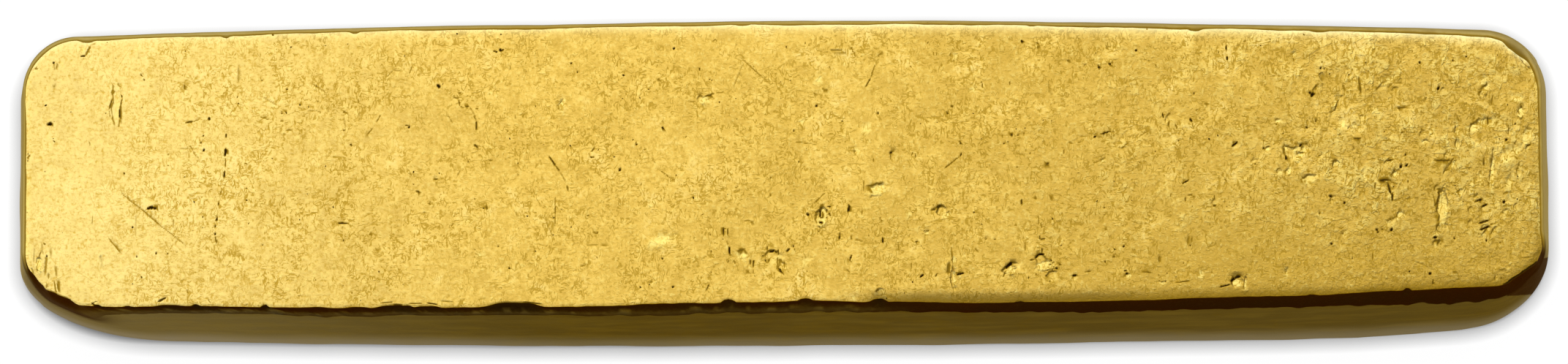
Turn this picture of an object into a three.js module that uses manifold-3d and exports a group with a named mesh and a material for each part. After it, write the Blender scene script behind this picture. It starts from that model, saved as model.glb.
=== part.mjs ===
// Cast kilogram gold bar: one solid piece, as it comes from an open ingot mould,
// lying on its wide poured side with the narrower mould-bottom face up.
// Millimetres, +Z up, long side along X. The origin is the centre of the underside.
import * as THREE from 'three';
import { mergeVertices } from 'three/addons/utils/BufferGeometryUtils.js';
import Module from 'manifold-3d';

// ---- Driving dimensions -------------------------------------------------------
// The start of the bar is its -X end, and its front is its -Y side.

const BAR_HEIGHT = 14.5;

// Fullest line of the walls, just above the underside
const BASE_LENGTH = 136.5;
const BASE_END_WIDTH = 27.7; // across the bar at both ends of its long sides
const BASE_BOW = 0.8; // how much fuller each long side is at mid length
const BASE_FRONT_RADIUS = 8.6; // corners in plan
const BASE_BACK_RADIUS = 6.0;
const WORN_CORNER_LENGTH = 15; // the front corner at the start is drawn out along the bar,
const WORN_CORNER_DEPTH = 7; // and this deep across it

// Upper face
const FACE_LENGTH = 132.6;
const FACE_START_WIDTH = 23.7;
const FACE_END_WIDTH = 22.5;
const FACE_BOW = 0.7;
const FACE_RADIUS = 4.7;

// Wall profile
const RIM_RADIUS = 2.2; // round that the metal's skin left along the lower rim
const SHOULDER_WIDTH = 0.65; // worn bevel round the upper face, in plan at mid length
const SHOULDER_DROP = 0.9; // and in height

// The front corner at the far end took a blow: a slanted facet replaces it.
const KNOCK_SETBACK = 0.3; // from the corner's round to the facet's upper edge, in plan
const KNOCK_TURN = 56; // degrees from +X to the facet's heading, towards the front
const KNOCK_SLOPE = 76; // degrees by which the facet falls

// ---- Fineness of the faceted solid --------------------------------------------

const CURVE_SEGMENTS = 14; // pieces in each bowed side, with twice as many in each corner
const RIM_RINGS = 7;
const WALL_RINGS = 4;

// ---- Plan outlines of the fullest line and the upper face ---------------------

const round = (radius) => ({ along: radius, across: radius });

const BASE = {
  halfLength: BASE_LENGTH / 2,
  startHalf: BASE_END_WIDTH / 2,
  endHalf: BASE_END_WIDTH / 2,
  bow: BASE_BOW,
  frontStart: { along: WORN_CORNER_LENGTH, across: WORN_CORNER_DEPTH },
  frontEnd: round(BASE_FRONT_RADIUS),
  backEnd: round(BASE_BACK_RADIUS),
  backStart: round(BASE_BACK_RADIUS),
};

const FACE = {
  halfLength: FACE_LENGTH / 2,
  startHalf: FACE_START_WIDTH / 2,
  endHalf: FACE_END_WIDTH / 2,
  bow: FACE_BOW,
  frontStart: round(FACE_RADIUS),
  frontEnd: round(FACE_RADIUS),
  backEnd: round(FACE_RADIUS),
  backStart: round(FACE_RADIUS),
};

// Half width at mid length of an outline's long sides
const midHalf = (plan) => (plan.startHalf + plan.endHalf) / 2 + plan.bow;

function addCorner(shape, plan, corner, signX, signY, startTurn) {
  const halfWidth = signX < 0 ? plan.startHalf : plan.endHalf;
  shape.absellipse(
    signX * (plan.halfLength - corner.along),
    signY * (halfWidth - corner.across),
    corner.along,
    corner.across,
    (startTurn * Math.PI) / 2,
    ((startTurn + 1) * Math.PI) / 2,
  );
}

function planShape(plan) {
  const control = midHalf(plan) + plan.bow; // bows a side by 'bow' at mid length
  const shape = new THREE.Shape();
  shape.moveTo(-plan.halfLength + plan.frontStart.along, -plan.startHalf);
  shape.quadraticCurveTo(0, -control, plan.halfLength - plan.frontEnd.along, -plan.endHalf);
  addCorner(shape, plan, plan.frontEnd, 1, -1, 3);
  addCorner(shape, plan, plan.backEnd, 1, 1, 0);
  shape.quadraticCurveTo(0, control, -plan.halfLength + plan.backStart.along, plan.startHalf);
  addCorner(shape, plan, plan.backStart, -1, 1, 1);
  addCorner(shape, plan, plan.frontStart, -1, -1, 2);
  return shape;
}

// ---- Wall profile: rings from the underside to the upper face -----------------
// 'inward' is how far a ring has moved from the fullest line (0) to the upper face (1).

function wallRings() {
  const inset = midHalf(BASE) - midHalf(FACE);
  const wallTop = BAR_HEIGHT - SHOULDER_DROP;
  const wallInset = inset - SHOULDER_WIDTH;
  const draft = Math.atan2(wallInset, wallTop - RIM_RADIUS);
  const rings = [];
  for (let i = 0; i <= RIM_RINGS; i++) {
    const angle = THREE.MathUtils.lerp(-Math.PI / 2, draft, i / RIM_RINGS);
    const height = RIM_RADIUS * (1 + Math.sin(angle));
    rings.push({ height, inward: (RIM_RADIUS * (1 - Math.cos(angle))) / inset });
  }
  const foot = rings[RIM_RINGS];
  for (let i = 1; i <= WALL_RINGS; i++) {
    const share = i / WALL_RINGS;
    const height = THREE.MathUtils.lerp(foot.height, wallTop, share);
    rings.push({ height, inward: THREE.MathUtils.lerp(foot.inward, wallInset / inset, share) });
  }
  rings.push({ height: BAR_HEIGHT, inward: 1 });
  return rings;
}

// ---- Body: the base outline extruded ring by ring, then lofted to the face ----

const pointKey = (x, y) => `${Math.fround(x)},${Math.fround(y)}`;

function castBody() {
  const rings = wallRings();
  const baseShape = planShape(BASE);
  const geometry = new THREE.ExtrudeGeometry(baseShape, {
    depth: rings.length - 1,
    steps: rings.length - 1,
    curveSegments: CURVE_SEGMENTS,
    bevelEnabled: false,
  });
  const basePoints = baseShape.getPoints(CURVE_SEGMENTS);
  const facePoints = planShape(FACE).getPoints(CURVE_SEGMENTS);
  const faceOf = new Map(basePoints.map((p, i) => [pointKey(p.x, p.y), facePoints[i]]));
  const place = geometry.attributes.position;
  for (let i = 0; i < place.count; i++) {
    const ring = rings[Math.round(place.getZ(i))];
    const base = new THREE.Vector2(place.getX(i), place.getY(i));
    const spot = base.clone().lerp(faceOf.get(pointKey(base.x, base.y)), ring.inward);
    place.setXYZ(i, spot.x, spot.y, ring.height);
  }
  return geometry;
}

// ---- Knocked corner: a tilted block whose lower face is the facet -------------

function knockBlock() {
  const reach = BAR_HEIGHT; // wide enough to clear the corner on every side
  const turn = THREE.MathUtils.degToRad(-KNOCK_TURN);
  const heading = new THREE.Vector3(Math.cos(turn), Math.sin(turn), 0);
  const upperEdge = new THREE.Vector3(
    FACE.halfLength - FACE_RADIUS,
    -FACE.endHalf + FACE_RADIUS,
    BAR_HEIGHT,
  ).addScaledVector(heading, FACE_RADIUS - KNOCK_SETBACK);
  const geometry = new THREE.BoxGeometry(2 * reach, 2 * reach, reach);
  geometry.translate(0, 0, reach / 2);
  geometry.rotateY(THREE.MathUtils.degToRad(KNOCK_SLOPE));
  geometry.rotateZ(turn);
  geometry.translate(upperEdge.x, upperEdge.y, upperEdge.z);
  return geometry;
}

// ---- Boolean cut --------------------------------------------------------------

const wasm = await Module();
wasm.setup();

const MERGE_DISTANCE = 1e-4;

function toManifold(geometry) {
  const bare = geometry.clone();
  bare.deleteAttribute('normal');
  bare.deleteAttribute('uv');
  const merged = mergeVertices(bare, MERGE_DISTANCE);
  return new wasm.Manifold(new wasm.Mesh({
    numProp: 3,
    vertProperties: Float32Array.from(merged.attributes.position.array),
    triVerts: Uint32Array.from(merged.index.array),
  }));
}

function toGeometry(manifold) {
  const mesh = manifold.getMesh();
  const geometry = new THREE.BufferGeometry();
  geometry.setAttribute('position', new THREE.BufferAttribute(mesh.vertProperties, 3));
  geometry.setIndex(new THREE.BufferAttribute(mesh.triVerts, 1));
  geometry.computeVertexNormals();
  return geometry;
}

// ---- Model --------------------------------------------------------------------

const wornGold = new THREE.MeshStandardMaterial({
  color: 0xe5be58,
  roughness: 0.38,
  metalness: 1.0,
});

function makeIngot() {
  const body = toManifold(castBody()).subtract(toManifold(knockBlock()));
  const mesh = new THREE.Mesh(toGeometry(body), wornGold);
  mesh.name = 'ingot';
  return mesh;
}

const bar = new THREE.Group();
bar.add(makeIngot());

export default bar;
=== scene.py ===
"""Cast gold ingot: a worn bar lying on its poured side, dressed over its solid.

A Blender 4.5 script laid out as an add-on. The bar's mesh is worked out in millimetres
and stored in metres; the start of the bar is its -X end and its front is its -Y side.
"""

import math

import bmesh
import bpy
import numpy as np
from bpy.props import FloatProperty, FloatVectorProperty, PointerProperty
from mathutils import Color, Matrix, Vector, noise


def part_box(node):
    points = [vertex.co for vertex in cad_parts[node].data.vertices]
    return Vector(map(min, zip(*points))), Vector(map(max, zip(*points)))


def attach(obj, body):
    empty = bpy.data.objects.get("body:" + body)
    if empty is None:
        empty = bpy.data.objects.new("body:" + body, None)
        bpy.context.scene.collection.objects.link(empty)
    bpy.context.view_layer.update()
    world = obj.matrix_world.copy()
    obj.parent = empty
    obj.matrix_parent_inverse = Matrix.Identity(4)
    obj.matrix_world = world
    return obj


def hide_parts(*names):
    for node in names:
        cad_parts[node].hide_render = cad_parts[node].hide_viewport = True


bl_info = {
    "name": "Cast Gold Ingot",
    "version": (1, 0, 0),
    "blender": (4, 5, 0),
    "location": "3D View > Sidebar > Ingot",
    "description": "Builds a worn cast gold bar and the studio that it lies in",
    "category": "Object",
}

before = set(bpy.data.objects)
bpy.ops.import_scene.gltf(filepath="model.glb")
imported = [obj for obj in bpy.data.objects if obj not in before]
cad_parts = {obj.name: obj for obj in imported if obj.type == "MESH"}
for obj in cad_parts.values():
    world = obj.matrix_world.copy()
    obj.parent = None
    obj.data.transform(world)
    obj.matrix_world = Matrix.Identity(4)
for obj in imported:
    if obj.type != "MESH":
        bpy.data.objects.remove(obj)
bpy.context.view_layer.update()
LOW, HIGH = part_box("ingot")
MM = 0.001
BAR_LENGTH, BAR_WIDTH, BAR_HEIGHT = ((high - low) / MM for low, high in zip(LOW, HIGH))


# ---- Settings -------------------------------------------------------------------------


def size(name, description, default):
    """A length setting, given in millimetres and stored in metres."""
    return FloatProperty(
        name=name, description=description, default=default * MM, unit="LENGTH", precision=5
    )


def angle(name, description, default):
    """An angle setting, given in degrees and stored in radians."""
    return FloatProperty(
        name=name, description=description, default=math.radians(default), subtype="ANGLE"
    )


def strength(name, description, default):
    """A brightness setting."""
    return FloatProperty(name=name, description=description, default=default, min=0)


def tint(name, description, default):
    """A colour setting, linear."""
    return FloatVectorProperty(
        name=name, description=description, default=default, subtype="COLOR", min=0, max=1
    )


class IngotForm(bpy.types.PropertyGroup):
    """Sizes of the bar's form. Its length, width and height come from the solid."""

    base_bow: size("Base Bow", "How much fuller the lower rim is at mid length", 0.8)
    front_radius: size("Front Corner", "Plan radius of the rim's front far corner", 8.6)
    back_radius: size("Back Corners", "Plan radius of the rim's back corners", 6.0)
    worn_length: size("Worn Corner Length", "Length of the rim's drawn-out corner", 15.0)
    worn_depth: size("Worn Corner Depth", "Depth of the same corner across the bar", 7.0)
    face_length: size("Face Length", "Length of the upper face", 132.6)
    face_start: size("Face Start Width", "Width of the upper face at its start", 23.7)
    face_end: size("Face End Width", "Width of the upper face at its far end", 22.5)
    face_bow: size("Face Bow", "How much fuller the upper face is at mid length", 0.7)
    face_radius: size("Face Corners", "Plan radius of the upper face's corners", 4.7)
    rim_radius: size("Rim Radius", "Round along the lower rim", 2.2)
    shoulder_width: size("Shoulder Width", "Worn bevel round the face, in plan", 0.65)
    shoulder_drop: size("Shoulder Drop", "Height of the worn bevel", 0.9)


class IngotWear(bpy.types.PropertyGroup):
    """How far the surface has been worn, dented and knocked."""

    skin: size("Skin", "Depth kept free under the solid's top for raised relief", 0.14)
    swell: size("Swell", "Height of the face's broad unevenness", 0.035)
    lumps: size("Lumps", "Height of the lumps at the rough end", 0.05)
    sag: size("Sag", "How far the face falls towards its front far corner", 0.34)
    ragged: size("Ragged Edge", "How far the face's edge strays in and out", 0.11)
    wall_wave: size("Wall Wave", "Depth of the soft waves on the walls", 0.09)
    knock_setback: size("Knock Setback", "How far the knocked corner is set back", 0.3)
    knock_turn: angle("Knock Turn", "Heading of the knocked corner's facet from +X", -56)
    knock_slope: angle("Knock Slope", "Fall of the knocked corner's facet", 76)


class IngotColours(bpy.types.PropertyGroup):
    """Colours of the gold and of what lies on it."""

    pale: tint("Pale Gold", "Burnished, freshly rubbed gold", (1.0, 0.82, 0.31))
    # Rubbed Gold also paints the highlights on the dents' rising floors and round the face's back
    # and ends.
    rubbed: tint("Rubbed Gold", "Bright spots where something touched", (1.0, 0.80, 0.22))
    # Lip is a painted highlight along the face's back edge.
    lip_highlight: tint("Lip", "The face's back edge, polished by wear", (1.0, 0.89, 0.43))
    gold: tint("Gold", "The face's usual colour", (0.92, 0.625, 0.125))
    deep: tint("Deep Gold", "Dull patches between the rubbed ones", (0.79, 0.51, 0.086))
    # Wall Gold is the front wall's skin darkened with painted shade; the back and end walls keep
    # the paler Side Walls colour.
    wall: tint("Wall Gold", "Skin that the mould left on the front wall", (0.126, 0.094, 0.033))
    # Rim is a painted reflection of the floor, low on the front wall and towards its start.
    rim: tint("Rim", "Paler skin low on the walls", (0.35, 0.31, 0.24))
    side: tint("Side Walls", "Skin of the back and end walls", (0.51, 0.405, 0.165))
    worn: tint("Worn", "Soft strokes and threads of the rubbed face", (0.73, 0.475, 0.075))
    scratch: tint("Scratches", "Dirt in the fine scratches", (0.46, 0.275, 0.018))
    # Grime is dirt in the marks, and also paints the shade under the face's edge, strongest in
    # front, and on the knocked corner.
    grime_and_shade: tint("Grime", "Burnt dirt in pits and under the edge", (0.040, 0.018, 0.003))


class IngotStudio(bpy.types.PropertyGroup):
    """Camera, lamps and floor."""

    camera_distance: size("Camera Distance", "From the upper face to the camera", 773.5)
    camera_tilt: angle("Camera Tilt", "Lean of the view from straight down", 8.55)
    camera_roll: angle("Camera Roll", "Turn of the picture", 0.38)
    view_width: size("View Width", "Width of the picture at the upper face", 137.7)
    view_below: size("View Below", "How far below the face's middle the view is aimed", 1.46)
    softbox: strength("Softbox", "Brightness of the large lamp overhead", 1.115)
    surroundings: strength("Surroundings", "Brightness of the room", 0.27)
    floor_glow: strength("Floor Glow", "White that the paper floor shows by itself", 0.955)


# ---- Plan outlines --------------------------------------------------------------------

CORNER_SHARE = 0.1  # of each half of a side's run, taken by its corner
FRONT, BACK = -1, 1
START, END = -1, 1


class Plan:
    """One level's outline in millimetres: two bowed sides joined by elliptical corners."""

    def __init__(self, length, start_width, end_width, bow, corners):
        self.half = length / 2
        self.start = start_width / 2
        self.end = end_width / 2
        self.bow = bow
        self.corners = corners  # (side, end) -> (along the bar, across it)

    @property
    def middle(self):
        """Half width at mid length."""
        return (self.start + self.end) / 2 + self.bow

    def side(self, run, side):
        """Points of the front or back side; run goes from -1 to 1 along the bar."""
        along_start, across_start = self.corners[side, START]
        along_end, across_end = self.corners[side, END]
        t = np.clip(run / (1 - CORNER_SHARE), -1, 1) / 2 + 0.5
        x = (1 - t) ** 2 * (along_start - self.half) + t**2 * (self.half - along_end)
        crown = 2 * t * (1 - t) * (self.middle + self.bow)
        y = (1 - t) ** 2 * self.start + crown + t**2 * self.end
        turn = corner_turn(run)
        along = np.where(run < 0, along_start, along_end)
        across = np.where(run < 0, across_start, across_end)
        x = x + np.sign(run) * along * np.sin(turn)
        y = y - across * (1 - np.cos(turn))
        return np.stack([x, side * y], axis=-1)

    def point(self, run, across):
        """Points between the sides; across goes from -1 at the front to 1 at the back."""
        share = (across[..., None] + 1) / 2
        return self.side(run, FRONT) * (1 - share) + self.side(run, BACK) * share

    def edge_distance(self, run, across):
        """Roughly how far the same points lie inside the outline."""
        width = (self.side(run, BACK) - self.side(run, FRONT))[:, 1]
        inwards = (1 - np.abs(across)) * width / 2 * np.cos(corner_turn(run))
        return np.minimum(inwards, self.half - np.abs(self.side(run, BACK)[:, 0]))


def corner_turn(run):
    """Turn of the outline in the corners, from 0 on the sides to a quarter at the ends."""
    past = np.clip((np.abs(run) - 1 + CORNER_SHARE) / CORNER_SHARE, 0, 1)
    return past * math.pi / 2


def crowd(value, share):
    """Draws evenly spread values from -1 to 1 together near both ends."""
    return (1 - share) * value + share * np.sin(value * math.pi / 2)


def round_corner(radius):
    """A corner as far along the bar as across it."""
    return radius / MM, radius / MM


def base_plan(form):
    """The fullest line of the walls, just above the floor."""
    end_width = BAR_WIDTH - 2 * form.base_bow / MM
    corners = {
        (FRONT, START): (form.worn_length / MM, form.worn_depth / MM),
        (FRONT, END): round_corner(form.front_radius),
        (BACK, START): round_corner(form.back_radius),
        (BACK, END): round_corner(form.back_radius),
    }
    return Plan(BAR_LENGTH, end_width, end_width, form.base_bow / MM, corners)


def face_plan(form):
    """The edge of the upper face."""
    corners = dict.fromkeys(
        [(side, end) for side in (FRONT, BACK) for end in (START, END)],
        round_corner(form.face_radius),
    )
    return Plan(
        form.face_length / MM, form.face_start / MM, form.face_end / MM,
        form.face_bow / MM, corners,
    )


# ---- Marks on the upper face, in millimetres from its middle ---------------------------

# Round pits: x, y, radius
PITS = (
    (-64.5, 4.15, 0.22), (-64.2, 9.6, 0.1), (-56.2, 8.05, 0.12), (-56.5, 8.45, 0.08),
    (-50.5, 4.5, 0.15), (-51, 3, 0.1), (-51.2, 2.4, 0.08), (-50.95, 1.75, 0.13),
    (-48, 6.45, 0.08), (-55.1, -7.4, 0.11), (-56.8, -7.7, 0.1), (-49.9, -5, 0.09),
    (-49.95, -5.75, 0.12), (-59.6, 5.1, 0.08), (-47, -4.8, 0.08), (-64.7, -7.6, 0.09),
    (-51.9, -5.4, 0.06), (54.2, -0.4, 0.2), (54.7, -0.3, 0.16), (54.6, 0.6, 0.13), (48, -3, 0.18),
    (49.2, -3.6, 0.14), (47, -4.5, 0.1), (52, -6, 0.14), (52.1, -6.2, 0.1), (53.3, -6, 0.17),
    (52.5, -6, 0.09), (48, -7.2, 0.16), (57.1, -6.7, 0.18), (58.8, -6.8, 0.12), (61.6, -7, 0.12),
    (62.8, -7.2, 0.09), (56.6, -9.9, 0.16), (54.8, -9.7, 0.1), (63.2, -3.6, 0.17),
    (63.5, 1.9, 0.15), (64.3, 3.3, 0.1), (46.8, 3.7, 0.1), (57.6, 6.5, 0.18), (56, 8.8, 0.13),
    (46.5, 6, 0.2), (46.3, 6.2, 0.14), (47.3, 8.4, 0.12), (47.6, 8.3, 0.1), (63.5, 0.1, 0.09),
    (60.1, 9.3, 0.1), (-43.65, 7.1, 0.12), (-43.3, 10.85, 0.09), (-45.85, 7.9, 0.08),
    (-44.1, 4.97, 0.08), (-43.7, 4.95, 0.07), (-38.3, 11.1, 0.07), (-40.7, 5, 0.06),
    (-38, 2.1, 0.11), (-32.93, 3.65, 0.13), (-30.3, 7.25, 0.19), (-29.95, 7.5, 0.06),
    (-25.2, 10.3, 0.09), (-24.3, 3.27, 0.08), (-26.25, 1.6, 0.07), (-27.75, 0.55, 0.08),
    (-28.9, -0.05, 0.07), (-27.75, -0.05, 0.07), (-45.75, -6.7, 0.09), (-25.1, -7, 0.1),
    (-31.4, -8.25, 0.06), (-37.75, -8.05, 0.06), (-18.65, 9.25, 0.11), (-18.1, 8.45, 0.08),
    (-9.6, 10.5, 0.13), (-4.05, 10.8, 0.08), (0.3, 10.6, 0.09), (-6.5, 7.75, 0.07),
    (-6.3, 7.65, 0.07), (-10.65, 3.5, 0.09), (-8.6, 2.6, 0.07), (1.7, 4.9, 0.08),
    (2.9, 5.3, 0.13), (0.9, 3.1, 0.12), (-16.3, 1.5, 0.07), (-16.6, -0.15, 0.08),
    (-14.4, -0.28, 0.17), (-12.95, 2, 0.11), (-13.25, 2.4, 0.05), (-10.7, -8.2, 0.13),
    (-9.8, -10.7, 0.11), (-7.7, -4.35, 0.06), (-1.15, -1.05, 0.08), (-0.3, -1.5, 0.06),
    (0.4, -2.45, 0.07), (1.9, -1.5, 0.09), (-5.4, -6.5, 0.07), (-1.65, -8.4, 0.12),
    (0.8, -7.15, 0.11), (2.5, -7.85, 0.08), (2.1, -4.35, 0.17), (3.7, -4.6, 0.08),
    (3, -5.85, 0.08), (8.3, 4.6, 0.13), (14.4, 4.6, 0.12), (20.6, 2.6, 0.1), (19.35, 1.85, 0.08),
    (15.55, 0.95, 0.1), (9.4, 1.1, 0.14), (21.6, 1, 0.07), (12.3, 9.9, 0.06), (13.6, -2.7, 0.07),
    (12.3, -5.85, 0.07), (12.65, -5.85, 0.07), (17.7, -6.65, 0.08), (18.5, -6.65, 0.08),
    (8.3, -2.9, 0.06), (23.4, -8.6, 0.07), (23.3, -8.9, 0.09), (23.6, -9.1, 0.09),
    (23.85, -9.25, 0.13), (23.5, -9.35, 0.09), (23.05, -9.4, 0.08), (22.9, -9.9, 0.09),
    (23.25, -10.4, 0.07), (21.4, -10.1, 0.07), (22.1, -9.8, 0.07), (24.8, -6.1, 0.07),
    (38.3, 9.85, 0.08), (36.1, 6.2, 0.1), (38.6, 5.7, 0.07), (40.2, 5.7, 0.07),
    (41.1, 4.85, 0.06), (36.35, 4.7, 0.08), (32.65, 1.1, 0.09), (34.7, 2, 0.07),
    (35.7, 2.2, 0.07), (35.75, -0.25, 0.06), (42.2, 1.95, 0.08), (42.15, 1.3, 0.12),
    (43.9, 2.6, 0.08), (45.4, 1.5, 0.16), (46, 3.1, 0.14), (28.1, -3.9, 0.06), (35.6, -7.3, 0.1),
    (28.1, -8.7, 0.11), (30, -9.75, 0.11), (33.4, -10.45, 0.07), (35, -8.85, 0.06),
    (44.1, -10.7, 0.08), (32.7, 8.8, 0.06), (43.3, 3.4, 0.07), (41.4, -0.1, 0.07),
    (31, 10.03, 0.08), (-55.52, -3.34, 0.17),
)

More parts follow.
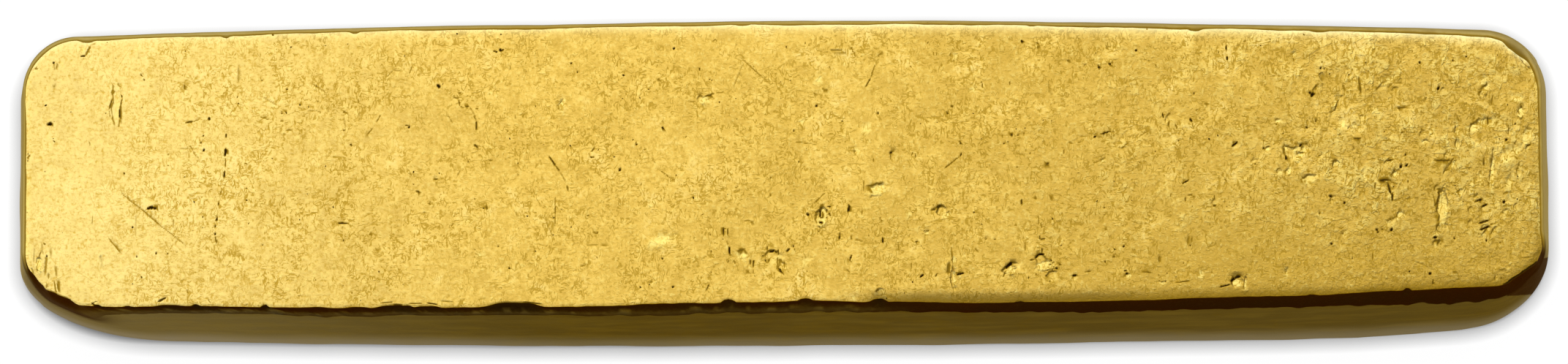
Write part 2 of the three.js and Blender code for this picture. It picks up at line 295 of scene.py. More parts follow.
# Scratches: x and y of both ends, half width, how dark
SCRATCHES = (
    (-61.85, 10.15, -61.4, 10.2, 0.07, 0.9), (-61.4, 10.2, -60.95, 11.1, 0.09, 0.5),
    (-60.9, 11.2, -60.4, 11.25, 0.05, 0.5), (-62.1, 10.9, -61.9, 10.4, 0.06, 0.3),
    (-58.95, 7.8, -59, 6.5, 0.06, 0.4), (-59, 6.4, -59.3, 5.4, 0.07, 0.7),
    (-58.6, 7.7, -58.3, 7.4, 0.05, 0.5), (-58.3, 7.4, -58.15, 6.4, 0.07, 0.8),
    (-58.15, 6.4, -58.35, 5.4, 0.06, 0.7), (-58.35, 5.5, -58.35, 4.6, 0.09, 0.85),
    (-58.35, 4.6, -58.45, 3.8, 0.06, 0.5), (-59.3, 5.4, -59.2, 4.7, 0.05, 0.35),
    (-64.2, 9.7, -64.1, 8.9, 0.05, 0.4), (-63.8, 9.8, -64, 9, 0.05, 0.4),
    (-52.7, 7.6, -52.65, 7.1, 0.07, 0.6), (-49, 3.2, -49, 2.8, 0.07, 0.8),
    (-49.02, 1.9, -49.1, 1.15, 0.1, 1), (-49.05, 1, -49.05, 0.2, 0.05, 0.7),
    (-49.1, -0.1, -49.2, -0.8, 0.07, 0.95), (-49.6, -2.9, -49.7, -3.2, 0.06, 0.8),
    (-49.75, -4.15, -49.8, -4.6, 0.07, 0.9), (-49.95, -4.9, -49.95, -5.2, 0.07, 0.7),
    (-49.95, -5.9, -49.8, -6.6, 0.05, 0.8), (-49.4, -1.8, -49.5, -2.3, 0.05, 0.6),
    (-52.6, 4.2, -51.9, 4.28, 0.07, 0.8), (-51.9, 4.28, -51.3, 4.5, 0.05, 0.5),
    (-47.9, 9.2, -47.9, 7.6, 0.09, 0.3), (-56.7, 10.6, -56.7, 9.8, 0.06, 0.35),
    (-64.1, 7.6, -64.3, 7.1, 0.06, 0.4), (-59.3, -6, -58.2, -7.4, 0.06, 0.5),
    (-60.7, -4, -60.75, -5.2, 0.05, 0.4), (-56.9, -3.9, -56.9, -6, 0.04, 0.3),
    (-54.9, -11.7, -54.2, -11.3, 0.09, 0.8), (-60.75, -11.75, -60.4, -12, 0.07, 0.9),
    (-50.6, -11.4, -50.3, -11.9, 0.05, 0.4), (-53.6, -4.3, -53.6, -5.3, 0.05, 0.35),
    (-66.5, 1.1, -66.1, 1.5, 0.06, 0.5), (-65.9, 9.1, -65.5, 9.05, 0.06, 0.6),
    (-61, 2.6, -60.95, 2.2, 0.05, 0.5), (-52.2, 2.2, -51.9, 1.7, 0.05, 0.5),
    (-51.9, 1.7, -51.6, 1.1, 0.05, 0.4), (-53.3, 1.8, -52.2, 1.9, 0.05, 0.3),
    (-52.4, -10.6, -52.3, -11, 0.06, 0.5), (-60, -11.3, -60, -11.7, 0.05, 0.6),
    (-47.4, 0.6, -47.1, 0.4, 0.06, 0.6), (-60, -7.5, -59.7, -8.9, 0.12, 0.2),
    (50, 2.1, 50.8, 2.1, 0.08, 0.8), (52.6, 1.9, 53.2, 1.9, 0.06, 0.5),
    (53.9, 4.8, 54.8, 4.8, 0.09, 0.8), (53.6, 7, 54.5, 7, 0.07, 0.5),
    (53.2, 6.6, 53.6, 7, 0.06, 0.4), (57.1, 0.1, 58.7, 0.1, 0.11, 0.8),
    (58.9, 0.4, 58.4, -0.4, 0.07, 0.6), (58.5, -0.6, 57.9, -0.9, 0.06, 0.6),
    (61.9, 4, 61.9, 3.2, 0.07, 0.8), (52.2, -1.6, 53.3, -1.6, 0.1, 0.95),
    (53, -1.8, 53.3, -2.9, 0.1, 0.85), (51.9, -1.8, 51.9, -2.4, 0.07, 0.6),
    (53.4, -2.7, 53.4, -3.5, 0.09, 0.9), (53.2, -1.7, 53.7, -1.9, 0.06, 0.6),
    (54.8, -1.6, 54.8, -1.9, 0.08, 0.6), (60.6, -3.6, 61.4, -3.3, 0.09, 0.9),
    (61.2, -4, 61.8, -3.8, 0.09, 0.9), (60.9, -5.5, 61.9, -5.2, 0.09, 0.9),
    (61, -6.1, 61.9, -5.7, 0.1, 0.95), (61.9, -5.6, 62.5, -5.5, 0.07, 0.6),
    (62.2, -5.9, 62, -6.5, 0.06, 0.5), (57, -2.9, 57.3, -4.4, 0.06, 0.5),
    (57.3, -4.4, 57.3, -5.9, 0.05, 0.35), (49.2, 6.9, 49.4, 6.3, 0.1, 0.5),
    (50.6, 7.6, 50.8, 6, 0.1, 0.65), (51.6, -8, 51.6, -8.7, 0.07, 0.5),
    (56.9, -10.4, 56.8, -10.9, 0.07, 0.7), (52.9, 0.1, 53.6, 0.2, 0.08, 0.8),
    (62.3, -9.8, 63.3, -9.5, 0.06, 0.4), (58.6, -9.8, 59, -9.8, 0.07, 0.5),
    (65.2, 1.3, 65.7, 1.5, 0.07, 0.6), (47, 2.9, 48, 2.9, 0.05, 0.3),
    (48.5, -2.7, 49.3, -2.1, 0.05, 0.35), (54, -3.4, 55.8, -3.1, 0.05, 0.35),
    (47.4, 7.9, 47.4, 7.2, 0.18, 0.35), (46.9, 6.9, 46.8, 6.4, 0.07, 0.5),
    (48, 0.1, 48.6, 0.2, 0.06, 0.5), (51.2, 0.2, 51.9, 0.3, 0.06, 0.5),
    (61.5, 0.3, 61.5, -0.4, 0.07, 0.6), (59.2, 4, 59.4, 3.5, 0.07, 0.5),
    (63.1, -2.9, 63.6, -2.7, 0.07, 0.5), (63, -4, 63.9, -3.9, 0.06, 0.5),
    (55, -8.7, 56.2, -9.2, 0.06, 0.3), (64.7, -8.6, 65.6, -8.5, 0.06, 0.35),
    (50, -6.4, 50.8, -6.5, 0.06, 0.3), (62.4, 5.9, 62.2, 4.9, 0.06, 0.5),
    (60.6, -2.6, 60.6, -3, 0.06, 0.6), (48.7, -5.9, 49.1, -5.8, 0.06, 0.5),
    (-44.25, 4.3, -43.95, 4.3, 0.07, 0.5), (-43.7, 3.5, -43.2, 3.48, 0.06, 0.6),
    (-44.2, 3, -43.9, 3, 0.05, 0.4), (-46, 4.65, -45.2, 4.42, 0.05, 0.6),
    (-45.9, 6.5, -44.5, 5.65, 0.05, 0.4), (-41.6, 7.7, -40.2, 6.75, 0.05, 0.45),
    (-38.75, 5.05, -38.4, 5, 0.07, 0.6), (-40, 5.4, -40, 5, 0.05, 0.4),
    (-41.8, 5.15, -41.2, 5.2, 0.05, 0.4), (-41.2, 5.2, -40.6, 5, 0.05, 0.35),
    (-37.35, 6.2, -37.35, 5.8, 0.05, 0.5), (-37.35, 4.95, -37.3, 4.6, 0.05, 0.4),
    (-35.4, 4.8, -35.8, 4.1, 0.06, 0.5), (-36.1, 3.6, -36.65, 2.95, 0.06, 0.55),
    (-38.65, 4.7, -38.5, 3.6, 0.05, 0.3), (-33.3, 3.85, -33, 3.85, 0.06, 0.8),
    (-32.65, 9.1, -32.9, 8.4, 0.06, 0.45), (-34.9, 8.1, -34.3, 8.75, 0.05, 0.35),
    (-34.3, 8.75, -33.6, 8.65, 0.05, 0.35), (-30.5, 7.35, -30.2, 7.25, 0.08, 1),
    (-28.65, 6.65, -28.3, 6.65, 0.06, 0.6), (-28.9, 6.2, -28.5, 6.22, 0.06, 0.7),
    (-28.55, 6.1, -28.45, 5.5, 0.06, 0.65), (-28.45, 5.5, -28.1, 5.3, 0.06, 0.5),
    (-28, 5.42, -27.65, 5.45, 0.07, 0.75), (-27.6, 5.4, -27.2, 4.8, 0.05, 0.5),
    (-27.2, 4.8, -27.05, 4.2, 0.05, 0.55), (-27, 4.2, -27, 3.3, 0.07, 0.75),
    (-27.1, 5.25, -26.8, 5.22, 0.06, 0.6), (-29.5, 4.7, -29.05, 3.9, 0.05, 0.4),
    (-25.55, 10.4, -25.2, 10.3, 0.07, 0.8), (-24.95, 10.6, -24.8, 10.35, 0.11, 1),
    (-24.8, 10.35, -24.6, 10.55, 0.07, 0.8), (-24, 9.1, -24, 8.7, 0.05, 0.5),
    (-22.8, 4.9, -22.9, 4.5, 0.05, 0.5), (-23.4, 4.6, -23, 4.7, 0.05, 0.45),
    (-23.6, 4.7, -23.55, 4.3, 0.05, 0.45), (-27.2, 2.05, -26.85, 1.8, 0.09, 0.9),
    (-26.9, 1.8, -26.9, 1.5, 0.05, 0.5), (-25.9, 0.6, -25.6, 0.7, 0.06, 0.6),
    (-28.4, -0.1, -28.7, -0.8, 0.05, 0.35), (-30.75, -1, -30.4, -0.98, 0.09, 0.85),
    (-32.9, -0.3, -32.7, -0.7, 0.06, 0.45), (-32.3, -2.05, -32, -2.1, 0.1, 0.85),
    (-31.25, -3.1, -31, -3.25, 0.08, 0.6), (-31.75, -4, -31.4, -3.95, 0.06, 0.4),
    (-26.1, -3.4, -26.1, -3.75, 0.08, 0.7), (-23.7, -3.8, -23.4, -4.3, 0.05, 0.4),
    (-29.3, -5.15, -29, -5, 0.06, 0.45), (-36.5, -5.8, -36.15, -5.92, 0.07, 0.6),
    (-36, -7.3, -35.3, -7.15, 0.05, 0.35), (-24.2, -8.85, -24.05, -9, 0.09, 0.9),
    (-22.55, -9.4, -22.4, -9.8, 0.05, 0.45), (-6.2, 11.1, -5.95, 11.3, 0.05, 0.5),
    (-5.95, 11.3, -5.8, 11.1, 0.05, 0.5), (1.95, 11, 1.95, 10.7, 0.06, 0.6),
    (-7.4, 8.8, -7.35, 8.5, 0.07, 0.8), (-11.1, 7.78, -10.8, 7.72, 0.06, 0.6),
    (-7, 6.2, -6, 6.5, 0.06, 0.8), (-6, 6.5, -4.9, 6.65, 0.05, 0.5),
    (-8.35, 5.7, -7.7, 5.8, 0.05, 0.5), (-4, 9.9, -1, 7.1, 0.05, 0.5),
    (-3.5, 9.2, -4.4, 7, 0.05, 0.35), (-10.6, 4.2, -10.55, 3.75, 0.05, 0.4),
    (3.4, 6.9, 3.6, 6.7, 0.06, 0.6), (3.6, 6.7, 3.9, 6.75, 0.06, 0.6),
    (2.9, 6.2, 2.65, 6.5, 0.06, 0.5), (1, 2.1, 2.2, 2, 0.05, 0.55),
    (2.2, 2, 2.9, 1.85, 0.05, 0.35), (3.2, 1.8, 3.7, 1.55, 0.05, 0.4),
    (-20.65, 1, -20, 0.05, 0.07, 0.9), (-20, 0.05, -19.7, -0.35, 0.06, 0.75),
    (-19.7, -0.35, -19.1, -1.4, 0.05, 0.45), (-19.05, -1.6, -18.95, -2.1, 0.06, 0.75),
    (-16.9, 1.35, -16.6, 1.75, 0.07, 0.65), (-17, 0.95, -16.85, 0.8, 0.08, 1),
    (-16.85, 0.8, -16.65, 0.95, 0.06, 0.8), (-16.8, 0.6, -16.65, 0.1, 0.04, 0.4),
    (-15.4, 2, -15.4, 1.7, 0.05, 0.5), (-12.95, 2.3, -12.95, 2, 0.05, 0.6),
    (-12.35, 1.55, -12.1, 1.55, 0.06, 0.5), (-12.5, -1.4, -12.55, -1.7, 0.06, 0.5),
    (-11.6, 0.85, -11.3, 0.25, 0.05, 0.45), (-11.1, -0.15, -9.5, -1.4, 0.05, 0.5),
    (-20.1, -2.6, -20.1, -3.4, 0.05, 0.45), (-20.1, -3.4, -20.1, -4.2, 0.06, 0.7),
    (-20.1, -4.2, -20.15, -5.4, 0.05, 0.45), (-21, -4.6, -20.2, -6.4, 0.05, 0.4),
    (-16.6, -5.85, -16.4, -5.92, 0.06, 0.65), (-16.4, -5.95, -16.35, -5.7, 0.06, 0.65),
    (-17.7, -6.85, -15.4, -7, 0.04, 0.45), (-6.6, -10.4, -6.9, -11.05, 0.06, 0.75),
    (-11.95, -10.3, -11.55, -10.2, 0.06, 0.5), (-17.9, -8.85, -17.4, -8.65, 0.05, 0.45),
    (-7.1, -1.7, -6.8, -1.7, 0.06, 0.5), (-4.3, -1.95, -4, -1.8, 0.06, 0.45),
    (-1.2, -2.4, -1.2, -2.75, 0.06, 0.6), (-3.6, -4.8, -2.7, -4.95, 0.05, 0.5),
    (-5.3, -5.4, -5.3, -6.2, 0.06, 0.9), (-5.3, -5.55, -5.1, -5.55, 0.05, 0.6),
    (-4.95, -5.5, -4.95, -6.1, 0.06, 0.85), (-4.85, -7.1, -4.8, -7.9, 0.08, 1),
    (-5.05, -6.6, -4.95, -7, 0.05, 0.5), (-5.1, -8.2, -4.9, -8.7, 0.05, 0.5),
    (-4.5, -8.3, -4.3, -8.7, 0.06, 0.6), (-4.2, -7.5, -3.6, -7.55, 0.06, 0.65),
    (-3, -8.3, -3, -8.75, 0.08, 0.85), (-2.7, -8.3, -2.75, -9, 0.07, 0.85),
    (-3.15, -9.2, -3.2, -9.6, 0.06, 0.6), (-2.75, -9.2, -2.8, -9.6, 0.05, 0.5),
    (-1.35, -8.2, -1.4, -8.6, 0.06, 0.65), (-1.5, -7.1, -1.5, -7.5, 0.07, 0.85),
    (-1.35, -7.65, -0.85, -7.5, 0.09, 1), (-0.85, -7.5, -0.7, -7.75, 0.07, 0.9),
    (-0.55, -7.4, -0.55, -7.9, 0.07, 0.85), (-0.6, -8.1, -0.6, -9, 0.06, 0.65),
    (-0.45, -9.1, -0.25, -9.5, 0.09, 0.95), (-0.25, -9.4, -0.1, -9.65, 0.06, 0.8),
    (-0.05, -8.4, 0, -9, 0.05, 0.6), (0.15, -7.65, 0.5, -7.3, 0.08, 0.85),
    (0.9, -7.3, 0.95, -7.7, 0.05, 0.6), (3.1, -3.7, 3.3, -3.7, 0.06, 0.85),
    (3.2, -3.9, 3.15, -4.6, 0.09, 1), (3.15, -4.6, 3.4, -4.65, 0.06, 0.8),
    (3.4, -4, 3.4, -4.7, 0.06, 0.75), (3.05, -5, 3.4, -5.15, 0.1, 1),
    (3.8, -3.6, 4.1, -3.7, 0.08, 0.95), (3.7, -3.9, 3.75, -4.15, 0.07, 0.85),
    (3.9, -4.2, 4.1, -4.5, 0.07, 0.85), (2.6, -3.4, 3.6, -2.4, 0.05, 0.55),
    (4.3, -1.2, 4.2, -1.5, 0.05, 0.5), (4.9, -5.9, 4.8, -6.6, 0.07, 0.85),
    (4, 8.9, 4.2, 8.5, 0.05, 0.5), (6, 10.5, 6.2, 10, 0.06, 0.55),
    (6.25, 10.1, 6.35, 9.7, 0.05, 0.5), (4, 10.25, 5.3, 10.2, 0.09, 0.35),
    (4.3, 10.05, 5.6, 10, 0.07, 0.3), (7.95, 10.7, 8.25, 10.72, 0.06, 0.6),
    (8.3, 9.7, 8.8, 10.1, 0.05, 0.45), (8.1, 9, 7.7, 7.8, 0.05, 0.55),
    (7.7, 7.8, 7.2, 6.9, 0.06, 0.75), (9.2, 8.8, 9.8, 8.6, 0.05, 0.45),
    (14.65, 5.2, 14.95, 5.2, 0.08, 0.7), (17.5, 7.2, 17.5, 6.8, 0.07, 0.7),
    (19.9, 7.4, 19.9, 7.05, 0.06, 0.7), (20.05, 2.85, 20.05, 2.45, 0.07, 0.85),
    (21.1, 2.9, 21.1, 2.6, 0.06, 0.6), (19.2, 2.7, 19.2, 2.35, 0.06, 0.5),
    (15.5, 2.15, 15.5, 1.8, 0.07, 0.85), (15.45, 0.75, 14, -0.4, 0.05, 0.7),
    (15.6, 0.95, 15.5, 0.7, 0.08, 0.85), (11.35, 1.15, 11.2, 0.8, 0.06, 0.6),
    (11.55, 1, 11.6, 0.65, 0.06, 0.75), (7.85, 0.6, 7.9, 0.3, 0.05, 0.6),
    (23, 0.05, 23.35, 0.05, 0.08, 0.75), (24.6, 1.3, 24.6, 0.9, 0.06, 0.7),
    (25, 1.9, 25.4, 1.85, 0.07, 0.5), (25.8, 1.9, 26.1, 1.9, 0.06, 0.5),
    (24.9, 9.2, 25.25, 9.2, 0.07, 0.6), (21, 11.1, 21, 10.7, 0.07, 1),
    (22.35, 10.85, 22.55, 10.6, 0.05, 0.7), (22.55, 10.6, 22.35, 10.35, 0.05, 0.6),
    (13.2, 10.1, 13.3, 9.65, 0.05, 0.5), (13.45, 10.1, 13.5, 9.7, 0.05, 0.5),
    (14.8, 10, 14.65, 9.65, 0.05, 0.5), (13.9, 9, 13.9, 8.7, 0.05, 0.5),
    (23.35, 7.4, 23.4, 6.2, 0.06, 0.3), (8.2, -1.6, 8.6, -1.6, 0.06, 0.55),
    (7, -1.3, 6.95, -2.4, 0.05, 0.55), (5.68, -3.4, 5.6, -4.2, 0.07, 1),
    (12.85, -4.05, 13.35, -3.9, 0.1, 0.75), (13.3, -3.85, 13.85, -3.55, 0.12, 0.75),
    (6.85, -4, 6.85, -4.4, 0.06, 0.6), (8.4, -4.6, 8.5, -5, 0.05, 0.6),
    (8.85, -5.4, 9.2, -5.4, 0.05, 0.5), (5.85, -6.2, 5.9, -6.6, 0.06, 0.65),
    (6.1, -6.5, 7, -6.8, 0.05, 0.55), (8.6, -6.4, 8.65, -6.95, 0.08, 0.9),
    (11.45, -6.85, 11.75, -6.78, 0.07, 0.75), (20.85, -3.1, 20.85, -3.6, 0.08, 0.9),
    (22.1, -2.9, 22.1, -3.2, 0.06, 0.6), (23.4, -2.9, 23.4, -3.2, 0.06, 0.6),
    (20.15, -5.4, 20.45, -5.4, 0.06, 0.5), (22.4, -6.3, 22.45, -6.7, 0.06, 0.85),
    (22.45, -6.7, 22.9, -6.6, 0.07, 0.85), (22.6, -5.3, 22.6, -5.7, 0.05, 0.6),
    (22.3, -4.5, 22.3, -5.4, 0.05, 0.5), (21.1, -7, 21.1, -7.7, 0.05, 0.6),
    (10, -7, 10, -7.6, 0.05, 0.5), (5.9, -7.9, 5.7, -8.5, 0.07, 0.9),
    (4.5, -8.2, 4.5, -8.5, 0.05, 0.5), (5.3, -9.2, 5.8, -9.5, 0.05, 0.5),
    (11.1, -8.6, 11.1, -9.4, 0.05, 0.5), (11.85, -9.98, 12.2, -9.7, 0.09, 1),
    (13.2, -9.95, 13.4, -9.6, 0.06, 0.7), (14.45, -8.7, 14.3, -9.7, 0.16, 0.6),
    (14.65, -7.3, 14.7, -8.4, 0.06, 0.5), (15.05, -9.78, 15.75, -9.6, 0.09, 1),
    (16.7, -7.4, 17, -7.8, 0.06, 0.55), (19.15, -10, 19.4, -9.4, 0.06, 0.7),
    (19.35, -9.25, 19.95, -8.6, 0.12, 1), (19.65, -8.9, 20, -8.9, 0.07, 0.95),
    (22, -8.3, 22.3, -8, 0.09, 1), (22.25, -8, 22.8, -8, 0.09, 1),
    (22.6, -7.9, 22.6, -7.4, 0.06, 0.85), (21.5, -8.5, 21.95, -8.45, 0.06, 0.75),
    (24, -8.95, 24.3, -8.95, 0.07, 0.8), (25.2, -9.92, 25.6, -9.85, 0.1, 1),
    (26.3, -9.6, 26.9, -9.5, 0.06, 0.65), (28.6, 10.9, 28.4, 10.1, 0.05, 0.45),
    (30.95, 10.05, 31.15, 10.05, 0.09, 1), (27.7, 8.8, 27.8, 8.4, 0.08, 0.9),
    (28.6, 8.9, 28.85, 8.9, 0.08, 0.9), (40.5, 10.8, 40.8, 10.85, 0.06, 0.5),
    (39, 10.5, 39, 10, 0.06, 1), (39.05, 9.5, 39.1, 9.1, 0.08, 1),
    (37, 5.3, 37.3, 5.25, 0.06, 0.55), (33.3, 4.5, 33.4, 4, 0.06, 1),
    (33.9, 3.8, 33.8, 3.3, 0.09, 0.65), (34.4, 3.5, 34.6, 3.1, 0.07, 0.65),
    (35.7, 4, 35.9, 3.65, 0.1, 1), (35.9, 3.6, 36.05, 3, 0.05, 0.6),
    (26, 2.45, 27.2, 2.4, 0.04, 0.35), (27.2, 2.35, 27.8, 2.6, 0.08, 1),
    (27.8, 2.6, 28.9, 2.95, 0.07, 0.9), (29.6, 1.3, 30.4, 1.95, 0.05, 0.6),
    (31.1, 2.3, 32.1, 2.95, 0.05, 0.45), (27, 0, 28.3, 0.5, 0.05, 0.45),
    (39.35, 1.45, 39.9, 1.9, 0.09, 1), (44.1, 0.65, 44.15, 0.25, 0.1, 0.95),
    (46.3, 6.1, 46.8, 6.1, 0.1, 0.9), (44.9, 9.3, 44.9, 9, 0.05, 0.6),
    (34.9, -1.85, 35.6, -1.45, 0.06, 1), (33.9, -3, 34, -2.6, 0.05, 0.55),
    (35.4, -2.8, 36.1, -2.9, 0.05, 0.7), (35.2, -3, 35.25, -3.4, 0.06, 0.85),
    (37.8, -2.8, 37.75, -3.2, 0.05, 0.75), (37.6, -3.75, 37.95, -3.75, 0.1, 0.75),
    (38.7, -1.35, 38.9, -1.7, 0.06, 0.6), (28.05, -5.8, 28.35, -5.8, 0.06, 0.55),
    (32.9, -8.2, 32.9, -8.8, 0.12, 0.5), (28.7, -8.25, 29.05, -8.25, 0.06, 0.75),
    (29.75, -9.5, 30.05, -9.5, 0.07, 0.85), (31.3, -9.6, 32.3, -9.7, 0.05, 0.7),
    (34.2, -10.6, 35.6, -10.4, 0.05, 0.7), (39.1, -10.5, 39.5, -10.15, 0.11, 1),
    (39.45, -10.15, 40, -10, 0.12, 1), (39.1, -10.75, 38.1, -11, 0.07, 0.95),
    (35.5, -6.4, 35.4, -7.2, 0.1, 0.45), (35.8, -6.5, 35.7, -7.1, 0.08, 0.4),
    (-55.92, -3.5, -55.55, -3.28, 0.12, 1), (-55.5, -3.28, -55.12, -3.46, 0.13, 1),
    (-58.2, -2.05, -56.3, -3.6, 0.05, 0.55), (-56.6, -3.3, -54.6, -5.1, 0.06, 0.6),
    (-54.9, -4.8, -52.4, -6.8, 0.04, 0.5), (-39.25, -4.8, -38.25, -4.87, 0.07, 1),
    (-65.75, -6.6, -65.85, -8.2, 0.06, 0.25), (-65.2, -6.3, -65, -7.5, 0.06, 0.28),
    (-64.7, -7.5, -64.85, -9.3, 0.1, 0.39), (-64.35, -6.9, -64.5, -8.5, 0.07, 0.39),
    (-64.4, -8.7, -64.6, -9.7, 0.08, 0.39), (-63.95, -8.5, -63.8, -9.6, 0.07, 0.44),
    (-63.8, -9.5, -63.6, -10.8, 0.1, 0.55), (-64.05, -9.7, -63.85, -11, 0.07, 0.44),
    (-64.6, -9.9, -64.75, -10.5, 0.07, 0.39), (-66.05, -8.6, -65.85, -9.2, 0.06, 0.33),
    (-35.4, -11.95, -34.3, -11.85, 0.05, 0.6), (-34.4, -12.05, -33.5, -12.1, 0.05, 0.7),
    (-33, -12, -31.7, -12, 0.05, 0.6), (-31.4, -11.95, -30.4, -12.1, 0.06, 0.8),
    (-22.9, -11.9, -21.2, -12.15, 0.06, 0.7), (-30.2, -11.8, -28.9, -11.9, 0.05, 0.4),
)

# Dents, each a floor that rises gently from a steep edge: x, y, half length and half width
# of the floor, heading of its rise in degrees, depth
DENTS = (
    (-58.7, 5.7, 0.35, 1.7, 0, 0.03), (-60.5, -11.8, 0.12, 0.3, -60, 0.05),
    (-65.3, -8.1, 0.2, 0.9, -10, 0.03), (57.8, -4.2, 0.6, 2.1, 0, 0.1),
    (57.4, -2.4, 0.3, 0.35, -20, 0.06), (60.8, 3.1, 0.5, 0.8, -35, 0.07),
    (59.2, 1.5, 0.22, 0.6, 0, 0.05), (59.1, 2.8, 0.18, 0.4, 0, 0.04),
    (58.3, -0.6, 0.14, 0.7, -35, 0.06), (57.8, -0.5, 0.07, 0.6, -90, 0.04),
    (61.6, 0.1, 0.1, 0.5, 0, 0.05), (62.2, -0.4, 0.14, 2, -8, 0.06),
    (61.7, 6.4, 0.3, 0.75, -35, 0.06), (64.9, 4.4, 0.35, 0.5, -20, 0.05),
    (48.5, -0.2, 0.35, 0.45, -30, 0.08), (47.2, 0.6, 0.12, 0.25, -60, 0.04),
    (53, -0.1, 0.18, 0.4, -70, 0.05), (53.7, -1.1, 0.3, 0.5, -50, 0.08),
    (48.2, -3.2, 0.18, 0.4, -35, 0.08), (53.4, -5.2, 0.22, 0.6, -60, 0.05),
    (54, -4.6, 0.2, 0.4, -20, 0.05), (55.4, 1.6, 0.14, 0.3, -70, 0.05),
    (56.3, 1.7, 0.15, 0.4, -70, 0.06), (56.2, 2.5, 0.35, 0.4, -40, 0.05),
    (60.3, -4.3, 0.25, 0.3, -40, 0.06), (60.2, -5.4, 0.2, 0.3, -50, 0.05),
    (60.8, -3.1, 0.18, 0.25, -40, 0.07), (61.4, -4.1, 0.15, 0.45, -60, 0.08),
    (61.6, -6.2, 0.2, 0.5, -50, 0.09), (62.3, -6.1, 0.12, 0.45, -30, 0.07),
    (61.4, -5.8, 0.12, 0.4, -60, 0.06), (59.5, -2.7, 0.25, 0.3, -30, 0.06),
    (63.3, -4.4, 0.18, 0.4, -60, 0.07), (62.4, -10.3, 0.1, 0.4, -10, 0.06),
    (50.1, 1.1, 0.18, 0.2, -40, 0.06), (50.5, 0.7, 0.2, 0.2, -40, 0.05),
    (53.5, 2.6, 0.12, 0.35, 0, 0.05), (52.3, 2.3, 0.08, 0.3, 0, 0.05),
    (65.4, 1.2, 0.12, 0.3, -50, 0.06), (52.7, 6.7, 0.3, 0.6, -50, 0.05),
    (53.8, 6.4, 0.2, 0.4, -60, 0.04), (58, 6.4, 0.15, 0.25, -50, 0.06),
    (48.9, 5.3, 0.2, 0.8, -25, 0.08), (48.3, 4.3, 0.2, 0.5, -40, 0.06),
    (47.3, 7.8, 0.2, 0.25, -40, 0.07), (53.3, 5.6, 0.12, 0.12, -40, 0.06),
    (49, -6.6, 0.1, 0.4, -10, 0.05), (52.6, -9, 0.07, 0.45, -10, 0.05),
    (57.4, -10.7, 0.08, 0.35, 15, 0.06), (57.2, -7.3, 0.2, 0.35, -60, 0.05),
    (64.2, -3.9, 0.12, 0.3, -50, 0.06), (63.9, 2.6, 0.25, 0.35, -30, 0.05),
    (64.6, -0.8, 0.2, 0.6, -10, 0.04), (50.8, 3.9, 0.2, 0.3, -30, 0.05),
    (51, -2.2, 0.15, 0.7, 0, 0.05), (65.3, 8.8, 0.2, 0.6, 40, 0.05),
    (58.3, 0.6, 0.25, 0.35, -30, 0.05), (56.6, 5.6, 0.15, 0.25, -40, 0.05),
    (54.5, 8.2, 0.12, 0.4, 40, 0.03), (50.5, 2.8, 0.12, 0.3, -60, 0.05),
    (49.6, 2.9, 0.12, 0.3, -50, 0.05), (13.9, -4.2, 0.6, 0.5, -55, 0.16),
    (19.8, -9.2, 0.5, 0.6, -55, 0.18), (39.7, -10.5, 0.6, 0.55, -50, 0.22),
    (22.6, -8.8, 0.9, 0.6, -75, 0.1), (3.3, -4.5, 0.6, 0.9, -20, 0.08),
    (14.8, -9.9, 0.2, 1.3, 0, 0.09), (8.5, -11.5, 0.45, 0.9, 15, 0.16),
    (44.1, -9.7, 0.12, 0.55, -10, 0.08), (40.4, -10.6, 0.12, 0.8, -10, 0.07),
    (33.8, 3.9, 0.3, 0.5, -30, 0.06), (39.7, 1.5, 0.3, 0.3, -40, 0.09),
    (44.8, 0.7, 0.9, 0.8, -35, 0.09), (45.9, 1.3, 0.4, 0.4, -50, 0.07),
    (44.3, -0.8, 0.3, 0.3, -40, 0.07), (43.5, -0.8, 0.3, 0.3, -40, 0.06),
    (46.2, -1.5, 0.6, 0.5, -35, 0.06), (9.7, 0.8, 0.3, 0.6, -10, 0.05),
    (6.4, 1.2, 0.2, 0.25, 0, 0.05), (-7.2, 5.9, 0.4, 0.4, -40, 0.05),
    (-19.5, 5.5, 0.3, 0.5, -20, 0.05), (23.5, -9.9, 0.5, 0.5, -50, 0.08),
    (12.5, -6, 0.25, 0.2, -60, 0.06), (25.5, -10.1, 0.3, 0.25, -70, 0.06),
    (30.1, -10, 0.3, 0.3, -60, 0.06), (15.4, -9.9, 0.4, 0.25, -75, 0.06),
    (45, 9.6, 0.15, 0.3, -30, 0.06), (46.9, 6.5, 0.3, 0.4, -30, 0.06),
    (37.8, -3.5, 0.25, 0.4, -50, 0.05), (8.2, -2.3, 0.8, 0.7, -40, 0.05),
    (-1, -8.2, 0.9, 0.6, -60, 0.06), (-0.2, -9, 0.4, 0.4, -50, 0.06),
    (-3.6, -8, 0.6, 0.4, -80, 0.05), (28.3, 2.3, 0.6, 0.25, -80, 0.05),
    (33.2, -10.6, 0.25, 0.2, -60, 0.05), (26.6, 8.7, 0.2, 0.2, -60, 0.04),
    (41.3, 0.2, 0.2, 0.2, -60, 0.05), (43.4, 3.7, 0.25, 0.2, -60, 0.06),
    (42.5, 1.2, 0.25, 0.3, -50, 0.06),
)

